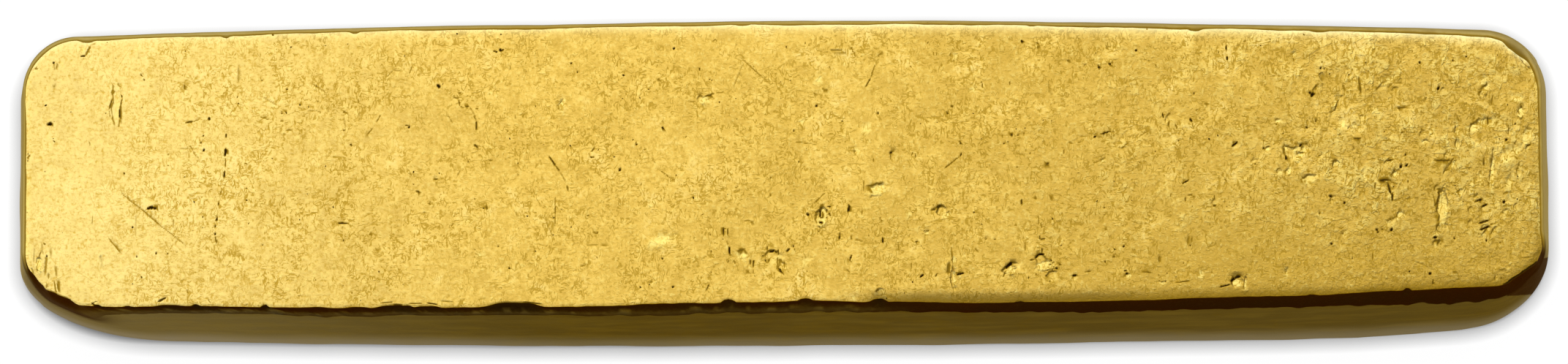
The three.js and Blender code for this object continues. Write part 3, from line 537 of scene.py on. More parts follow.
# Burnished spots, smooth and pale: x, y, half length, half width, turn in degrees
RUBS = (
    (57.8, -4.2, 2, 0.5, 88), (60.7, 3, 0.8, 0.4, 20), (61.8, 6.4, 0.6, 0.25, 55),
    (64.8, 4.3, 0.5, 0.35, 80), (59.2, 1.5, 0.6, 0.2, 90), (53.6, -1.1, 0.5, 0.25, 0),
    (65.3, 8.8, 0.6, 0.2, -50), (48.5, -0.2, 0.4, 0.3, 60), (-7, 5.9, 0.45, 0.3, 10),
    (-19.5, 5.5, 0.5, 0.3, 80), (-25.8, 6.6, 0.35, 0.25, 90), (16.6, 6.6, 0.6, 0.14, 15),
    (3.1, 7.5, 0.5, 0.35, 80), (6.5, 1.2, 0.25, 0.2, 90), (-27.7, -4.7, 0.5, 0.25, 0),
    (-26.7, -7.8, 0.3, 0.25, 0), (-23.4, -8.8, 0.5, 0.1, 5), (14.2, -4.5, 0.5, 0.2, 30),
    (39.7, -10.6, 0.45, 0.35, 20), (40.4, -10.7, 0.8, 0.1, 86), (44, -9.7, 0.5, 0.13, 84),
    (14.9, -10.2, 1.3, 0.09, -84), (22.3, 10.6, 0.2, 0.15, 60), (22.9, -9, 0.9, 0.45, 10),
    (19.9, -9.4, 0.5, 0.35, 40), (18.7, 8.6, 0.2, 0.1, 90), (12.5, -6, 0.18, 0.1, 0),
    (-11.7, -3.3, 0.3, 0.2, 70), (-3.7, -7.9, 0.6, 0.25, 0), (1.9, 4.1, 1, 0.2, 5),
    (2, -1.9, 0.25, 0.2, 0), (1.8, -8.5, 0.5, 0.35, 80), (44.1, 1.3, 0.5, 0.18, 90),
    (45.2, 0.5, 0.7, 0.3, 35), (44.4, -0.7, 0.4, 0.3, 60), (43.6, -0.9, 0.35, 0.2, 40),
    (46, -1.5, 0.9, 0.45, 20), (45.4, 1.2, 0.8, 0.2, 0), (43.5, 3.7, 0.3, 0.15, 20),
    (42.5, 1.2, 0.2, 0.2, 0), (45, 9.7, 0.3, 0.18, 70), (6, -11.9, 0.35, 0.06, 80),
    (17.5, -12, 0.3, 0.06, 85), (8.8, -11.9, 0.3, 0.06, 85), (3.3, -4.6, 0.9, 0.5, 80),
    (8.2, -2.2, 0.9, 0.5, 20), (30.2, -9.9, 0.3, 0.15, 0), (33.2, -10.6, 0.2, 0.12, 20),
    (-10.8, -6.5, 1.4, 0.5, 20), (7.3, 3.3, 0.5, 0.3, 80), (3.4, -8.7, 0.6, 0.07, 78),
    (14.9, -8.6, 0.6, 0.1, -80), (-61.7, 10.7, 0.3, 0.14, 70), (62.6, 10.6, 0.7, 0.1, -5),
    (63.9, 10.1, 0.5, 0.1, -30), (64.9, 9.3, 0.6, 0.11, -22), (65.8, 8.7, 0.45, 0.11, -50),
    (66, 8, 0.4, 0.12, -75), (-65.4, -8.3, 0.7, 0.24, 90), (51, -1.3, 0.9, 0.25, 85),
    (53.4, 0.2, 0.5, 0.25, 10), (57, 2.6, 0.8, 0.2, 90), (56.1, 1.8, 0.8, 0.2, 0),
    (58.8, -0.3, 0.6, 0.22, 60), (59.2, 2.6, 1, 0.2, 90), (62, 3.4, 1.4, 0.5, 10),
    (62.2, -1.4, 2, 0.2, 86), (63.8, 0.4, 1.2, 0.7, 60), (63.6, -2.1, 0.9, 0.3, 80),
    (65.1, 1.6, 0.6, 0.2, 30), (61.2, -1.5, 0.5, 0.3, 90), (54.2, -4.7, 0.6, 0.3, 30),
    (49.2, -6.4, 0.5, 0.2, 90), (57.1, -6.5, 0.3, 0.2, 60), (47.5, 0.9, 0.4, 0.2, 0),
    (50.4, 3.1, 0.6, 0.2, 0), (52.6, 2.2, 0.7, 0.2, -5), (49.2, 3.4, 0.5, 0.3, -45),
    (53, 7.2, 0.9, 0.4, 20), (48.6, 5.4, 0.9, 0.22, 65), (61.6, 7.2, 0.7, 0.4, 30),
    (64.5, 5.6, 0.7, 0.35, -20), (65.3, 2.2, 0.9, 0.4, 80), (36.5, -9.9, 0.5, 0.25, 90),
    (28, 0.2, 0.25, 0.2, 60), (11, -4.3, 0.4, 0.25, 80), (15.3, 9.7, 0.3, 0.2, 90),
)

# Stains: x, y, radius, how dark
STAINS = (
    (47.6, 7.7, 0.7, 0.15), (46.7, 6.1, 0.5, 0.18), (4.8, 10.15, 0.9, 0.11),
    (-6.4, -3.8, 0.9, 0.12), (35.6, -6.8, 0.7, 0.18), (34.1, 7.9, 1.2, 0.06),
    (52.8, -1.8, 0.9, 0.13), (3.3, -4.4, 0.7, 0.12), (-1.5, -8.2, 1.6, 0.07),
    (18.4, -0.5, 0.5, 0.18), (23.4, -9.2, 0.6, 0.12), (9.5, 1, 1.2, 0.05),
    (32.9, -8.5, 0.5, 0.12), (-4.9, -5.8, 0.7, 0.09),
)

# How far the face's edge strays outwards from its plan: x, distance
BACK_STRAY = (
    (-66, -0.2), (-62, -0.3), (-50, -0.15), (-36, 0), (-18, 0.12), (-4, 0.28), (14, 0.36),
    (28, 0.16), (45, 0.1), (56, 0), (66, -0.35),
)
FRONT_STRAY = (
    (-66, 0), (-59, 0.15), (-45, 0.1), (-30, 0.12), (-18, 0.1), (-5, -0.2), (2, -0.35), (9, -0.1),
    (21, 0.15), (35, 0.1), (50, 0.05), (58, -0.22), (62, -0.28), (64.5, -0.05), (66, 0),
)
START_STRAY, START_ZONE = 0.3, (48, 66)  # the same at the bar's start, and the -x it grows over
END_BULGE = 0.35  # the same behind the knocked corner, where it grows over this x and -y
END_ZONE, END_ZONE_GROWS, END_ZONE_EASES = (64.0, 65.5), (6.0, 8.0), (8.9, 9.8)
EDGE_REACH = 0.6  # how far in from the edge its bites, rolled stretch and the painted shade on it reach
# Bites out of the face's edge: x, side, half width along the edge, depth inwards
BITES = (
    (-63.7, FRONT, 1.4, 0.5), (-60.3, FRONT, 0.3, 0.15), (-57.6, FRONT, 0.3, 0.1),
    (-54.2, FRONT, 0.9, 0.1), (-51.7, FRONT, 0.3, 0.16), (-45.6, FRONT, 0.25, 0.25),
    (-41, FRONT, 0.8, 0.06), (-34.5, FRONT, 1.3, 0.2), (-31.3, FRONT, 1, 0.16),
    (-23.8, FRONT, 2.2, 0.4), (-11.5, FRONT, 1.6, 0.1), (-8.5, FRONT, 1.2, 0.08),
    (-5, FRONT, 0.5, 0.28), (1.8, FRONT, 0.5, 0.2), (8.2, FRONT, 0.7, 0.3),
    (20.6, FRONT, 0.3, 0.1), (46.3, FRONT, 0.4, 0.1), (54.6, FRONT, 0.3, 0.24),
    (-61.3, BACK, 0.6, 0.18), (-49, BACK, 0.3, 0.2), (-37.7, BACK, 0.4, 0.16),
    (-3.6, BACK, 0.6, 0.1), (21.9, BACK, 0.4, 0.1), (36.3, BACK, 0.5, 0.14),
    (47.2, BACK, 0.7, 0.12), (-65.7, FRONT, 0.6, 0.35), (64.4, BACK, 0.9, 0.3),
    (-33, FRONT, 0.35, 0.12), (-37.5, FRONT, 0.9, 0.1),
)
# How far the foot of the front wall is worn back: x, distance
FRONT_FOOT = (
    (-68, 0.05), (-64, 0.15), (-50, 0.18), (30, 0.18), (42, 0), (51, 0), (56, 0.2), (61, 0.55),
    (65, 0.4), (68, 0),
)
# How much deeper the shoulder reaches down the front wall: x, distance
FRONT_SHOULDER = (
    (-66.2, 1.6), (-65.2, 3.6), (-63.6, 3.8), (-62.4, 1.7), (-60, 0.9), (-57, 0.5), (-52, 0.4),
    (-46, 0.7), (-42, 1.3), (-37, 1.2), (-35, 0.6), (-24, 0.5), (-14, 1), (-4, 1.1), (3, 1.2),
    (14, 1), (27, 1.3), (40, 1.1), (50, 1.4), (56, 2.2), (60, 2.7), (62.5, 2.2),
)

# ---- Fields of relief ------------------------------------------------------------------


def smooth(value, low, high):
    """0 below low, 1 above high, and an easy curve between them."""
    t = np.clip((value - low) / (high - low), 0, 1)
    return t * t * (3 - 2 * t)


def table_curve(x, table):
    """What a table of places and values says at x, with straight lines between."""
    places, values = zip(*table)
    return np.interp(x, places, values)


def rough_noise(x, y, wave, seed, octaves=1):
    """Noise from about -1 to 1 whose features are 'wave' millimetres across."""
    total = np.zeros_like(x)
    share = 1.0
    for octave in range(octaves):
        level = seed + 7.3 * octave
        layer = [noise.noise((p, q, level)) for p, q in zip(x / wave, y / wave)]
        total += share * np.array(layer)
        share *= 0.5
        wave *= 0.5
    return total


def local_frame(x, y, centre_x, centre_y, turn):
    """Coordinates along and across a mark turned by so many degrees."""
    c, s = math.cos(math.radians(turn)), math.sin(math.radians(turn))
    dx, dy = x - centre_x, y - centre_y
    return dx * c + dy * s, dy * c - dx * s


def segment_place(x, y, x0, y0, x1, y1):
    """Distance from a scratch's line, and place along it from 0 to 1."""
    dx, dy = x1 - x0, y1 - y0
    along = np.clip(((x - x0) * dx + (y - y0) * dy) / (dx * dx + dy * dy), 0, 1)
    return np.hypot(x - x0 - along * dx, y - y0 - along * dy), along


# Shares of a pit's radius, and of a scratch's width
PIT_DEPTH, PIT_LIP = 0.6, 0.06
GROOVE_DEPTH, GROOVE_BURR = 0.3, 0.10
RUB_TILT = 0.13  # fall of a rubbed spot towards the back, in millimetres per millimetre
RUB_REACH = 0.5  # how far from its middle it falls
PIT_OVAL = 1.5  # length against width
JITTER_WAVE, BEND_WAVE = 0.22, 0.75  # of the noises that make outlines ragged, in millimetres


class FaceMarks:
    """Height, grime and burnish that the marks bring to points of the face, with painted shade
    and painted highlights on the dents.
    """

    def __init__(self, x, y):
        self.x, self.y = x, y
        self.height = np.zeros_like(x)
        self.grime_and_shade = np.zeros_like(x)
        self.rub_and_highlight = np.zeros_like(x)
        self.jitter = rough_noise(x, y, JITTER_WAVE, 41.0)
        self.bend = rough_noise(x, y, BEND_WAVE, 43.0, 2)
        kinds = (
            (self.dent, DENTS), (self.scratch, SCRATCHES), (self.pit, PITS),
            (self.lighten, RUBS), (self.stain, STAINS),
        )
        for leave, marks in kinds:
            for mark in marks:
                leave(*mark)

    def near(self, x, y, reach):
        """Which points lie in a square round a mark."""
        return np.nonzero((np.abs(self.x - x) < reach) & (np.abs(self.y - y) < reach))[0]

    def darken_to(self, near, share):
        """Makes points at least so dark."""
        self.grime_and_shade[near] = np.maximum(self.grime_and_shade[near], share)

    def brighten_to(self, near, share):
        """Makes points at least so bright."""
        self.rub_and_highlight[near] = np.maximum(self.rub_and_highlight[near], share)

    def pit(self, x, y, radius):
        """An oval hole with a low lip and a dirty floor."""
        near = self.near(x, y, 3 * radius)
        turn = 720 * noise.noise((x, y, 0.5))
        along, across = local_frame(self.x[near], self.y[near], x, y, turn)
        away = np.hypot(along, PIT_OVAL * across) / radius
        away = away * (1 + 0.5 * self.jitter[near])
        self.height[near] -= PIT_DEPTH * radius * (1 - smooth(away, 0.3, 1.1))
        self.height[near] += PIT_LIP * radius * np.exp(-((away - 1.5) / 0.35) ** 2)
        self.darken_to(near, 1 - smooth(away, 0.55, 1.15))

    def scratch(self, x0, y0, x1, y1, width, dark):
        """A groove that fades at its ends, with a burr on both sides."""
        reach = math.hypot(x1 - x0, y1 - y0) / 2 + 4 * width
        near = self.near((x0 + x1) / 2, (y0 + y1) / 2, reach)
        away, along = segment_place(self.x[near], self.y[near], x0, y0, x1, y1)
        fade = 0.4 + 0.6 * smooth(along, -0.05, 0.20) * (1 - smooth(along, 0.80, 1.05))
        away = away / (width * fade) * (1 + 0.35 * self.jitter[near])
        self.height[near] -= GROOVE_DEPTH * width * np.exp(-(away**2)) * fade
        burr = np.exp(-((away - 2.0) ** 2))
        self.height[near] += GROOVE_BURR * width * burr * fade
        self.darken_to(near, dark * fade * (1 - smooth(away, 0.6, 1.3)))

    def dent(self, x, y, half_length, half_width, heading, depth):
        """A hollow that is steep at one end and runs out at the other, with painted shade along
        its steep edge and a painted highlight where its floor rises.
        """
        near = self.near(x, y, 2 * max(half_length, half_width))
        along, across = local_frame(self.x[near], self.y[near], x, y, heading)
        away = np.hypot(along / half_length, across / half_width)
        away = away * (1 + 0.6 * self.bend[near]) + 0.16 * self.jitter[near]
        rise = np.clip(along / half_length, -1, 1)
        self.height[near] -= depth * (1 - rise) / 2 * (1 - smooth(away, 0.75, 1.05))
        steep_edge = np.exp(-(((away - 0.92) / 0.16) ** 2)) * smooth(-rise, 0.0, 0.5)
        self.darken_to(near, 0.55 * steep_edge)
        self.brighten_to(near, 0.5 * (1 - smooth(away, 0.6, 0.95)) * smooth(rise, -0.5, 0.3))

    def lighten(self, x, y, half_length, half_width, turn):
        """A rubbed spot, leaning towards the back."""
        near = self.near(x, y, 2 * half_length + half_width)
        along, across = local_frame(self.x[near], self.y[near], x, y, turn)
        away = np.hypot(along / half_length, across / half_width)
        share = 1 - smooth(away * (1 + 0.4 * self.jitter[near]), 0.75, 1.05)
        self.brighten_to(near, share)
        fall = np.clip(self.y[near] - y, -RUB_REACH, RUB_REACH)
        self.height[near] -= RUB_TILT * fall * share

    def stain(self, x, y, radius, dark):
        """A dull patch with a ragged outline."""
        near = self.near(x, y, 2 * radius)
        away = np.hypot(self.x[near] - x, self.y[near] - y) / radius
        away = away * (1 + 0.8 * self.jitter[near] + 0.5 * self.bend[near])
        self.darken_to(near, dark * (1 - smooth(away, 0.2, 1.2)))


# Stretches over which the face gets rougher: x from and to, share of the whole
ROUGHER = ((-20, 10, 0.10), (8, 36, 0.35), (38, 52, 0.55))
SAG_ALONG, SAG_ACROSS = (8, 62), (-8, 14)  # x and -y over which the face sags


def rough_share(x):
    """How rough the face is: smooth over most of it, hammered towards the far end."""
    return sum(share * smooth(x, start, end) for start, end, share in ROUGHER)


def fallen_share(x, y):
    """How far the face has sagged, growing towards the front of the far end."""
    return smooth(x, *SAG_ALONG) * smooth(-y, *SAG_ACROSS)


def facets(x, y, wave, seed):
    """Hammered unevenness: patches about 'wave' millimetres wide, each tilted its own way."""
    bent_x = x + 0.35 * wave * rough_noise(x, y, 0.8 * wave, seed)
    bent_y = y + 0.35 * wave * rough_noise(x, y, 0.8 * wave, seed + 50)
    heights = np.empty_like(x)
    for i, (p, q) in enumerate(zip(bent_x / wave, bent_y / wave)):
        spot = Vector((p, q, seed))
        centre = noise.voronoi(spot)[1][0]
        tilt = noise.cell_vector(centre * 7.7) - Vector((0.5, 0.5, 0.5))
        away = spot - centre
        heights[i] = away.x * tilt.x + away.y * tilt.y
    return heights


# Wear of the face's edge in front and behind: how deep, how far in, in millimetres
FRONT_WEAR, BACK_WEAR = (0.02, 0.1), (0.055, 0.36)
WEAR_CHANGES = (-10.8, -9.2)  # y over which the one gives way to the other
ROLLED = 0.16  # depth to which the front's edge is rolled over, from mid length on
ROLLED_ALONG, ROLLED_ACROSS = (2, 14), (2, 8)  # x and -y over which that grows
ROLLED_EASES = (26, 36)  # x over which it gets shallower again


def face_relief(x, y, edge, wear):
    """Height of the face against its highest level, which is 0."""
    rough = rough_share(x)
    lumps = 0.9 * facets(x, y, 2.6, 11.0) + 0.6 * facets(x, y, 1.1, 23.0)
    lumps += 0.6 * rough_noise(x, y, 5.0, 17.0) + 0.5 * rough_noise(x, y, 1.4, 19.0, 2)
    swell = rough_noise(x, y, 24.0, 3.0, 2) + 0.3 * rough_noise(x, y, 7.0, 5.0)
    height = wear.swell / MM * swell + wear.lumps / MM * rough * lumps
    height -= wear.sag / MM * fallen_share(x, y)
    behind = smooth(y, *WEAR_CHANGES)
    depth, reach = FRONT_WEAR
    worn_edge = depth * (1 - behind) * np.exp(-((edge / reach) ** 2))
    depth, reach = BACK_WEAR
    worn_edge += behind * depth * np.exp(-edge / reach)
    rolled = ROLLED * smooth(x, *ROLLED_ALONG) * smooth(-y, *ROLLED_ACROSS)
    rolled = rolled * np.exp(-((edge / EDGE_REACH) ** 2)) * (1 - 0.6 * smooth(x, *ROLLED_EASES))
    return height - worn_edge - rolled - wear.skin / MM


ROLLED_SHADE = 0.36  # how dark the painted shade on the rolled stretch is
ROLLED_SHADE_ALONG, ROLLED_SHADE_ACROSS = (2, 12), (4, 9)  # x and -y over which it grows
POLISH_REACH = 0.3  # how far in from the edge it is rubbed, partly a painted highlight, and how far the lip's painted highlight reaches, in millimetres
POLISH_FRONT = -9  # y in front of which the rub, partly a painted highlight, isn't
LIP_ACROSS, LIP_ALONG = (8.0, 9.5), (-30, 10)  # y and x over which the painted highlight on the back's lip gets brighter


def edge_masks(x, y, edge):
    """Painted shade on the front's rolled stretch, a rub round the back and ends that is partly a
    painted highlight, and a painted highlight on the back's lip.
    """
    dirt_and_shade = smooth(x, *ROLLED_SHADE_ALONG) * smooth(-y, *ROLLED_SHADE_ACROSS)
    dirt_and_shade = ROLLED_SHADE * dirt_and_shade * np.exp(-((edge / EDGE_REACH) ** 2))
    patchy = smooth(rough_noise(x, y, 3.0, 77.0, 2), -0.5, 0.5)
    rub_and_highlight = np.exp(-((edge / POLISH_REACH) ** 2)) * patchy * (y > POLISH_FRONT)
    lip_highlight = smooth(y, *LIP_ACROSS) * (0.55 + 0.45 * smooth(x, *LIP_ALONG))
    return dirt_and_shade, rub_and_highlight, lip_highlight * np.exp(-edge / POLISH_REACH)


# ---- The bar's mesh --------------------------------------------------------------------

COLUMNS, ROWS = 452, 76  # faces along and across the upper face
CROWD_ALONG, CROWD_ACROSS = 0.3, 0.6
FINE_CUTS = 3  # extra cuts in each edge near a mark
PIT_MARGIN, SCRATCH_MARGIN = 0.20, 0.18  # how far round a mark those reach, in millimetres
DENT_MARGIN = 1.15  # the same for a dent, in its own half lengths and widths
CREASE = 50  # degrees at which an edge is shaded sharp
# Rings under the face's edge, as shares of the shoulder, the wall and the rim
SHOULDER = (0.06, 0.25, 0.5, 0.75, 0.97)
WALL = (0.01, 0.1, 0.25, 0.4, 0.55, 0.7, 0.85, 1.0)
RIM = (0.15, 0.3, 0.45, 0.6, 0.8, 1.0)
RINGS = len(SHOULDER) + len(WALL) + len(RIM)
EDGE_DROP = 0.13  # from the face's level to the top of the shoulder, in millimetres


def near_a_mark(x, y):
    """True where the face's mesh has to be finer."""
    fine = np.zeros(x.shape, bool)
    for px, py, radius in PITS:
        fine |= np.hypot(x - px, y - py) < radius + PIT_MARGIN
    for x0, y0, x1, y1, _, _ in SCRATCHES:
        fine |= segment_place(x, y, x0, y0, x1, y1)[0] < SCRATCH_MARGIN
    for dx, dy, half_length, half_width, heading, _ in DENTS:
        along, across = local_frame(x, y, dx, dy, heading)
        fine |= np.hypot(along / half_length, across / half_width) < DENT_MARGIN
    return fine


def refine_marks(bm, plan):
    """Cuts the faces under the marks into smaller ones."""
    faces = list(bm.faces)
    middles = np.array([face.calc_center_median()[:2] for face in faces])
    run, across = crowd(middles[:, 0], CROWD_ALONG), crowd(middles[:, 1], CROWD_ACROSS)
    places = plan.point(run, across)
    fine = near_a_mark(places[:, 0], places[:, 1])
    edges = [edge for face, chosen in zip(faces, fine) if chosen for edge in face.edges]
    edges = list(dict.fromkeys(edges))  # each once, in the same order every time
    bmesh.ops.subdivide_edges(bm, edges=edges, cuts=FINE_CUTS, use_grid_fill=True)


def sort_faces(bm):
    """Gives the faces the same order every time, which extruding doesn't."""
    bm.verts.index_update()
    count = len(bm.verts)

    def rank(face):
        corners = [vert.index for vert in face.verts]
        return (min(corners) * count + max(corners)) * 4 * count + sum(corners)

    bm.faces.sort(key=rank)


def bar_bmesh(plan):
    """A closed mesh still laid out flat: layers say where each vertex belongs."""
    bm = bmesh.new()
    bmesh.ops.create_grid(bm, x_segments=COLUMNS, y_segments=ROWS, size=1.0)
    refine_marks(bm, plan)
    run = bm.verts.layers.float.new("run")
    across = bm.verts.layers.float.new("across")
    ring = bm.verts.layers.float.new("ring")
    for vert in bm.verts:
        vert[run], vert[across] = vert.co.x, vert.co.y
    border = [edge for edge in bm.edges if edge.is_boundary]
    for level in range(1, RINGS + 1):
        made = bmesh.ops.extrude_edge_only(bm, edges=border)["geom"]
        for vert in (part for part in made if isinstance(part, bmesh.types.BMVert)):
            vert[ring] = level
        new_edges = (part for part in made if isinstance(part, bmesh.types.BMEdge))
        border = [edge for edge in new_edges if edge.is_boundary]
    bmesh.ops.contextual_create(bm, geom=border)
    sort_faces(bm)
    return bm


def read_layer(mesh, name):
    """One number for each vertex."""
    values = np.empty(len(mesh.vertices), np.float32)
    mesh.attributes[name].data.foreach_get("value", values)
    return values.astype(float)


def write_layer(mesh, name, values):
    """Stores one number for each vertex."""
    layer = mesh.attributes.new(name, "FLOAT", "POINT")
    layer.data.foreach_set("value", values.astype(np.float32))


def place_face(form, wear, run, across):
    """Places of the face's points, with the wandering of its edge."""
    plan = face_plan(form)
    spot = plan.point(run, across)
    x, y = spot[:, 0].copy(), spot[:, 1].copy()
    x -= START_STRAY * smooth(-x, *START_ZONE)
    bulge = END_BULGE * smooth(x, *END_ZONE) * smooth(-y, *END_ZONE_GROWS)
    x += bulge * (1 - smooth(-y, *END_ZONE_EASES))
    edge = plan.edge_distance(run, across)
    side = np.where(y > 0, BACK, FRONT)
    stray = np.where(y > 0, table_curve(x, BACK_STRAY), table_curve(x, FRONT_STRAY))
    ragged = rough_noise(x, y, 5.0, 57.0, 2) + 0.3 * rough_noise(x, y, 0.8, 58.0)
    outwards = wear.ragged / MM * ragged
    clean = y + side * np.abs(across) * stray
    for bite_x, bite_side, half_width, depth in BITES:
        chosen = side == bite_side
        outwards = outwards - chosen * depth * np.exp(-(((x - bite_x) / half_width) ** 4))
    near_edge = np.exp(-edge / EDGE_REACH)
    heading = corner_turn(run)
    y = y + side * (np.abs(across) * stray + near_edge * outwards * np.cos(heading))
    clean = np.stack([x, clean], axis=-1)
    x = x + np.sign(run) * near_edge * outwards * np.sin(heading)
    return x, y, edge, clean


def place_bar(mesh, form, wear):
    """Moves every vertex to its place and writes the masks that the material reads."""
    run = crowd(read_layer(mesh, "run"), CROWD_ALONG)
    across = crowd(read_layer(mesh, "across"), CROWD_ACROSS)
    ring = np.rint(read_layer(mesh, "ring")).astype(int)
    x, y, edge, clean = place_face(form, wear, run, across)
    z = np.empty_like(x)
    grime_and_shade, rub_and_highlight, lip_highlight, fall, front = (np.zeros_like(x) for _ in range(5))

    face = np.nonzero(ring == 0)[0]
    marks = FaceMarks(x[face], y[face])
    relief = face_relief(x[face], y[face], edge[face], wear) + marks.height
    z[face] = BAR_HEIGHT + np.minimum(relief, 0)
    edge_shade, edge_rub_and_highlight, lip_highlight[face] = edge_masks(x[face], y[face], edge[face])
    grime_and_shade[face] = np.maximum(marks.grime_and_shade, edge_shade)
    rub_and_highlight[face] = np.maximum(marks.rub_and_highlight, edge_rub_and_highlight)

    walls = np.nonzero(ring > 0)[0]
    x[walls], y[walls], z[walls], grime_and_shade[walls], fall[walls], front[walls] = place_walls(
        form, wear, run[walls], across[walls], ring[walls], x[walls], y[walls], clean[walls]
    )
    spot, knocked = knock_corner(form, wear, np.stack([x, y, z], axis=-1))
    mesh.vertices.foreach_set("co", (spot * MM).astype(np.float32).ravel())
    masks = {
        "grime_and_shade": grime_and_shade, "knocked": knocked, "rub_and_highlight": rub_and_highlight, "lip_highlight": lip_highlight, "front": front,
        "wall": smooth(ring, 0, len(SHOULDER)), "rough": rough_share(x) * (ring == 0),
    }
    for name, values in masks.items():
        write_layer(mesh, name, values)
    return x, y, fall


def ring_shares(ring):
    """How far each ring is down the shoulder, the wall and round the rim."""
    shoulder = np.array((0, *SHOULDER) + (1,) * (len(WALL) + len(RIM)))
    wall = np.array((0,) * (len(SHOULDER) + 1) + (*WALL,) + (1,) * len(RIM))
    rim = np.array((0,) * (len(SHOULDER) + len(WALL) + 1) + (*RIM,))
    return shoulder[ring], wall[ring], rim[ring]


TORN_ENDS, FADED_ENDS = (4, 12), (4, 14)  # x over which the shoulder's torn, faded skin ends
STEADY_FROM = (56, 62)  # x over which the front wall's waves die away
CORNER_ALONG, CORNER_ACROSS = (61.5, 64.0), (8.0, 9.5)  # -x and -y of the front corner at the start, darkened with painted shade


def shoulder_shade_and_grime(edge_x, edge_y, shoulder, wall, front, burr):
    """Painted shade of the shoulder, strongest along the front, partly dirt in the crevice, and
    thinner where its skin is torn or has faded; painted shade on the front corner at the start
    too.
    """
    band = (wall == 0) * (front + (1 - front) * 0.6 * (shoulder < 0.3))
    torn = 0.16 * smooth(burr, 0.1, 0.6) * (shoulder > 0.3) * (1 - smooth(edge_x, *TORN_ENDS))
    faded = 0.20 * smooth(shoulder, 0.35, 0.8) * (1 - smooth(edge_x, *FADED_ENDS))
    corner = smooth(-edge_x, *CORNER_ALONG) * smooth(-edge_y, *CORNER_ACROSS)
    corner = 0.92 * corner * (1 - smooth(wall, 0.12, 0.35))
    return np.clip(np.maximum(0.95 * band * (1 - torn - faded), corner), 0, 1)


def place_walls(form, wear, run, across, ring, edge_x, edge_y, clean):
    """Places, grime with painted shade, unrolled height and frontness of the rings under the
    face's edge.
    """
    shoulder, wall, rim = ring_shares(ring)
    radius = form.rim_radius / MM
    inset = base_plan(form).middle - face_plan(form).middle
    foot = base_plan(form).point(run, across)
    foot[:, 1] += table_curve(foot[:, 0], FRONT_FOOT) * smooth(-foot[:, 1], 2, 9)
    torn = np.stack([edge_x, edge_y], axis=-1)
    top = torn + (clean - torn) * smooth(shoulder, 0.0, 0.6)[:, None]
    heading = corner_turn(run)
    outward_x, outward_y = np.sign(run) * np.sin(heading), np.sign(across) * np.cos(heading)
    outward = np.stack([outward_x, outward_y], axis=-1)
    front = smooth(-outward_y, -0.05, 0.35)

    # Heights and outward shares of the shoulder's two edges
    crest = BAR_HEIGHT - wear.skin / MM - EDGE_DROP
    crest = crest - wear.sag / MM * fallen_share(edge_x, edge_y)
    deeper = front * table_curve(edge_x, FRONT_SHOULDER)
    deeper = deeper * (1 + 0.5 * rough_noise(edge_x, edge_y, 1.6, 73.0, 2))
    drop = form.shoulder_drop / MM * (1 + 0.3 * rough_noise(edge_x, edge_y, 5.0, 71.0, 2))
    drop = drop + deeper
    wall_slope = (inset - form.shoulder_width / MM) / (BAR_HEIGHT - form.shoulder_drop / MM)
    shoulder_out = (form.shoulder_width / MM + wall_slope * deeper) / inset

    height = crest - drop * shoulder - (crest - drop - radius) * wall
    out = shoulder_out * shoulder**1.1 + (1 - shoulder_out) * wall
    turn = rim * math.pi / 2
    height = np.where(rim > 0, radius * (1 - np.sin(turn)), height)
    out = np.where(rim > 0, 1 - radius * (1 - np.cos(turn)) / inset, out)
    spot = top + (foot - top) * out[:, None]

    along = np.where(np.abs(outward_y) > 0.5, edge_x, edge_y)
    wave = rough_noise(along, height * 1.6, 8.0, 83.0, 2)
    wave += 0.3 * rough_noise(along, height * 3.0, 2.8, 89.0, 2)
    hold = np.where(wall > 0, 1.0, 0.4 * shoulder) * (1 - rim)
    hold = hold * (1 - smooth(edge_x, *STEADY_FROM) * front)
    spot = spot - outward * (wear.wall_wave / MM * (wave + 1.1) * hold)[:, None]
    burr = rough_noise(along, shoulder * 3.0, 1.1, 91.0, 3)
    on_shoulder = (wall == 0) * shoulder * (1 - shoulder) * 4
    ragged = 0.10 * on_shoulder * front * (1 - 0.7 * smooth(edge_x, *TORN_ENDS))
    spot = spot - outward * (ragged * np.abs(burr))[:, None]

    grime_and_shade = shoulder_shade_and_grime(edge_x, edge_y, shoulder, wall, front, burr)
    fall = drop * shoulder * 1.2 + (crest - drop - radius) * wall + radius * turn
    return spot[:, 0], spot[:, 1], height, grime_and_shade, fall, front


KNOCK_SINK = 0.05  # deeper than in the solid, because the face has sagged here
KNOCK_FROM, KNOCK_TO = -8.7, -12.05  # y of the borders of the band of painted shade, at the face's level
KNOCK_LEAN = 0.15  # how far those borders move back with each millimetre further down
KNOCK_START = 63.6  # x where the band begins
KNOCK_BRIM = 0.75  # clean strip above the band, under the level of the face
KNOCK_FOOT = 8.7  # what was pressed back is darkened with painted shade down to this height above the floor
KNOCK_MARGIN = 0.13  # and so far beyond its own border


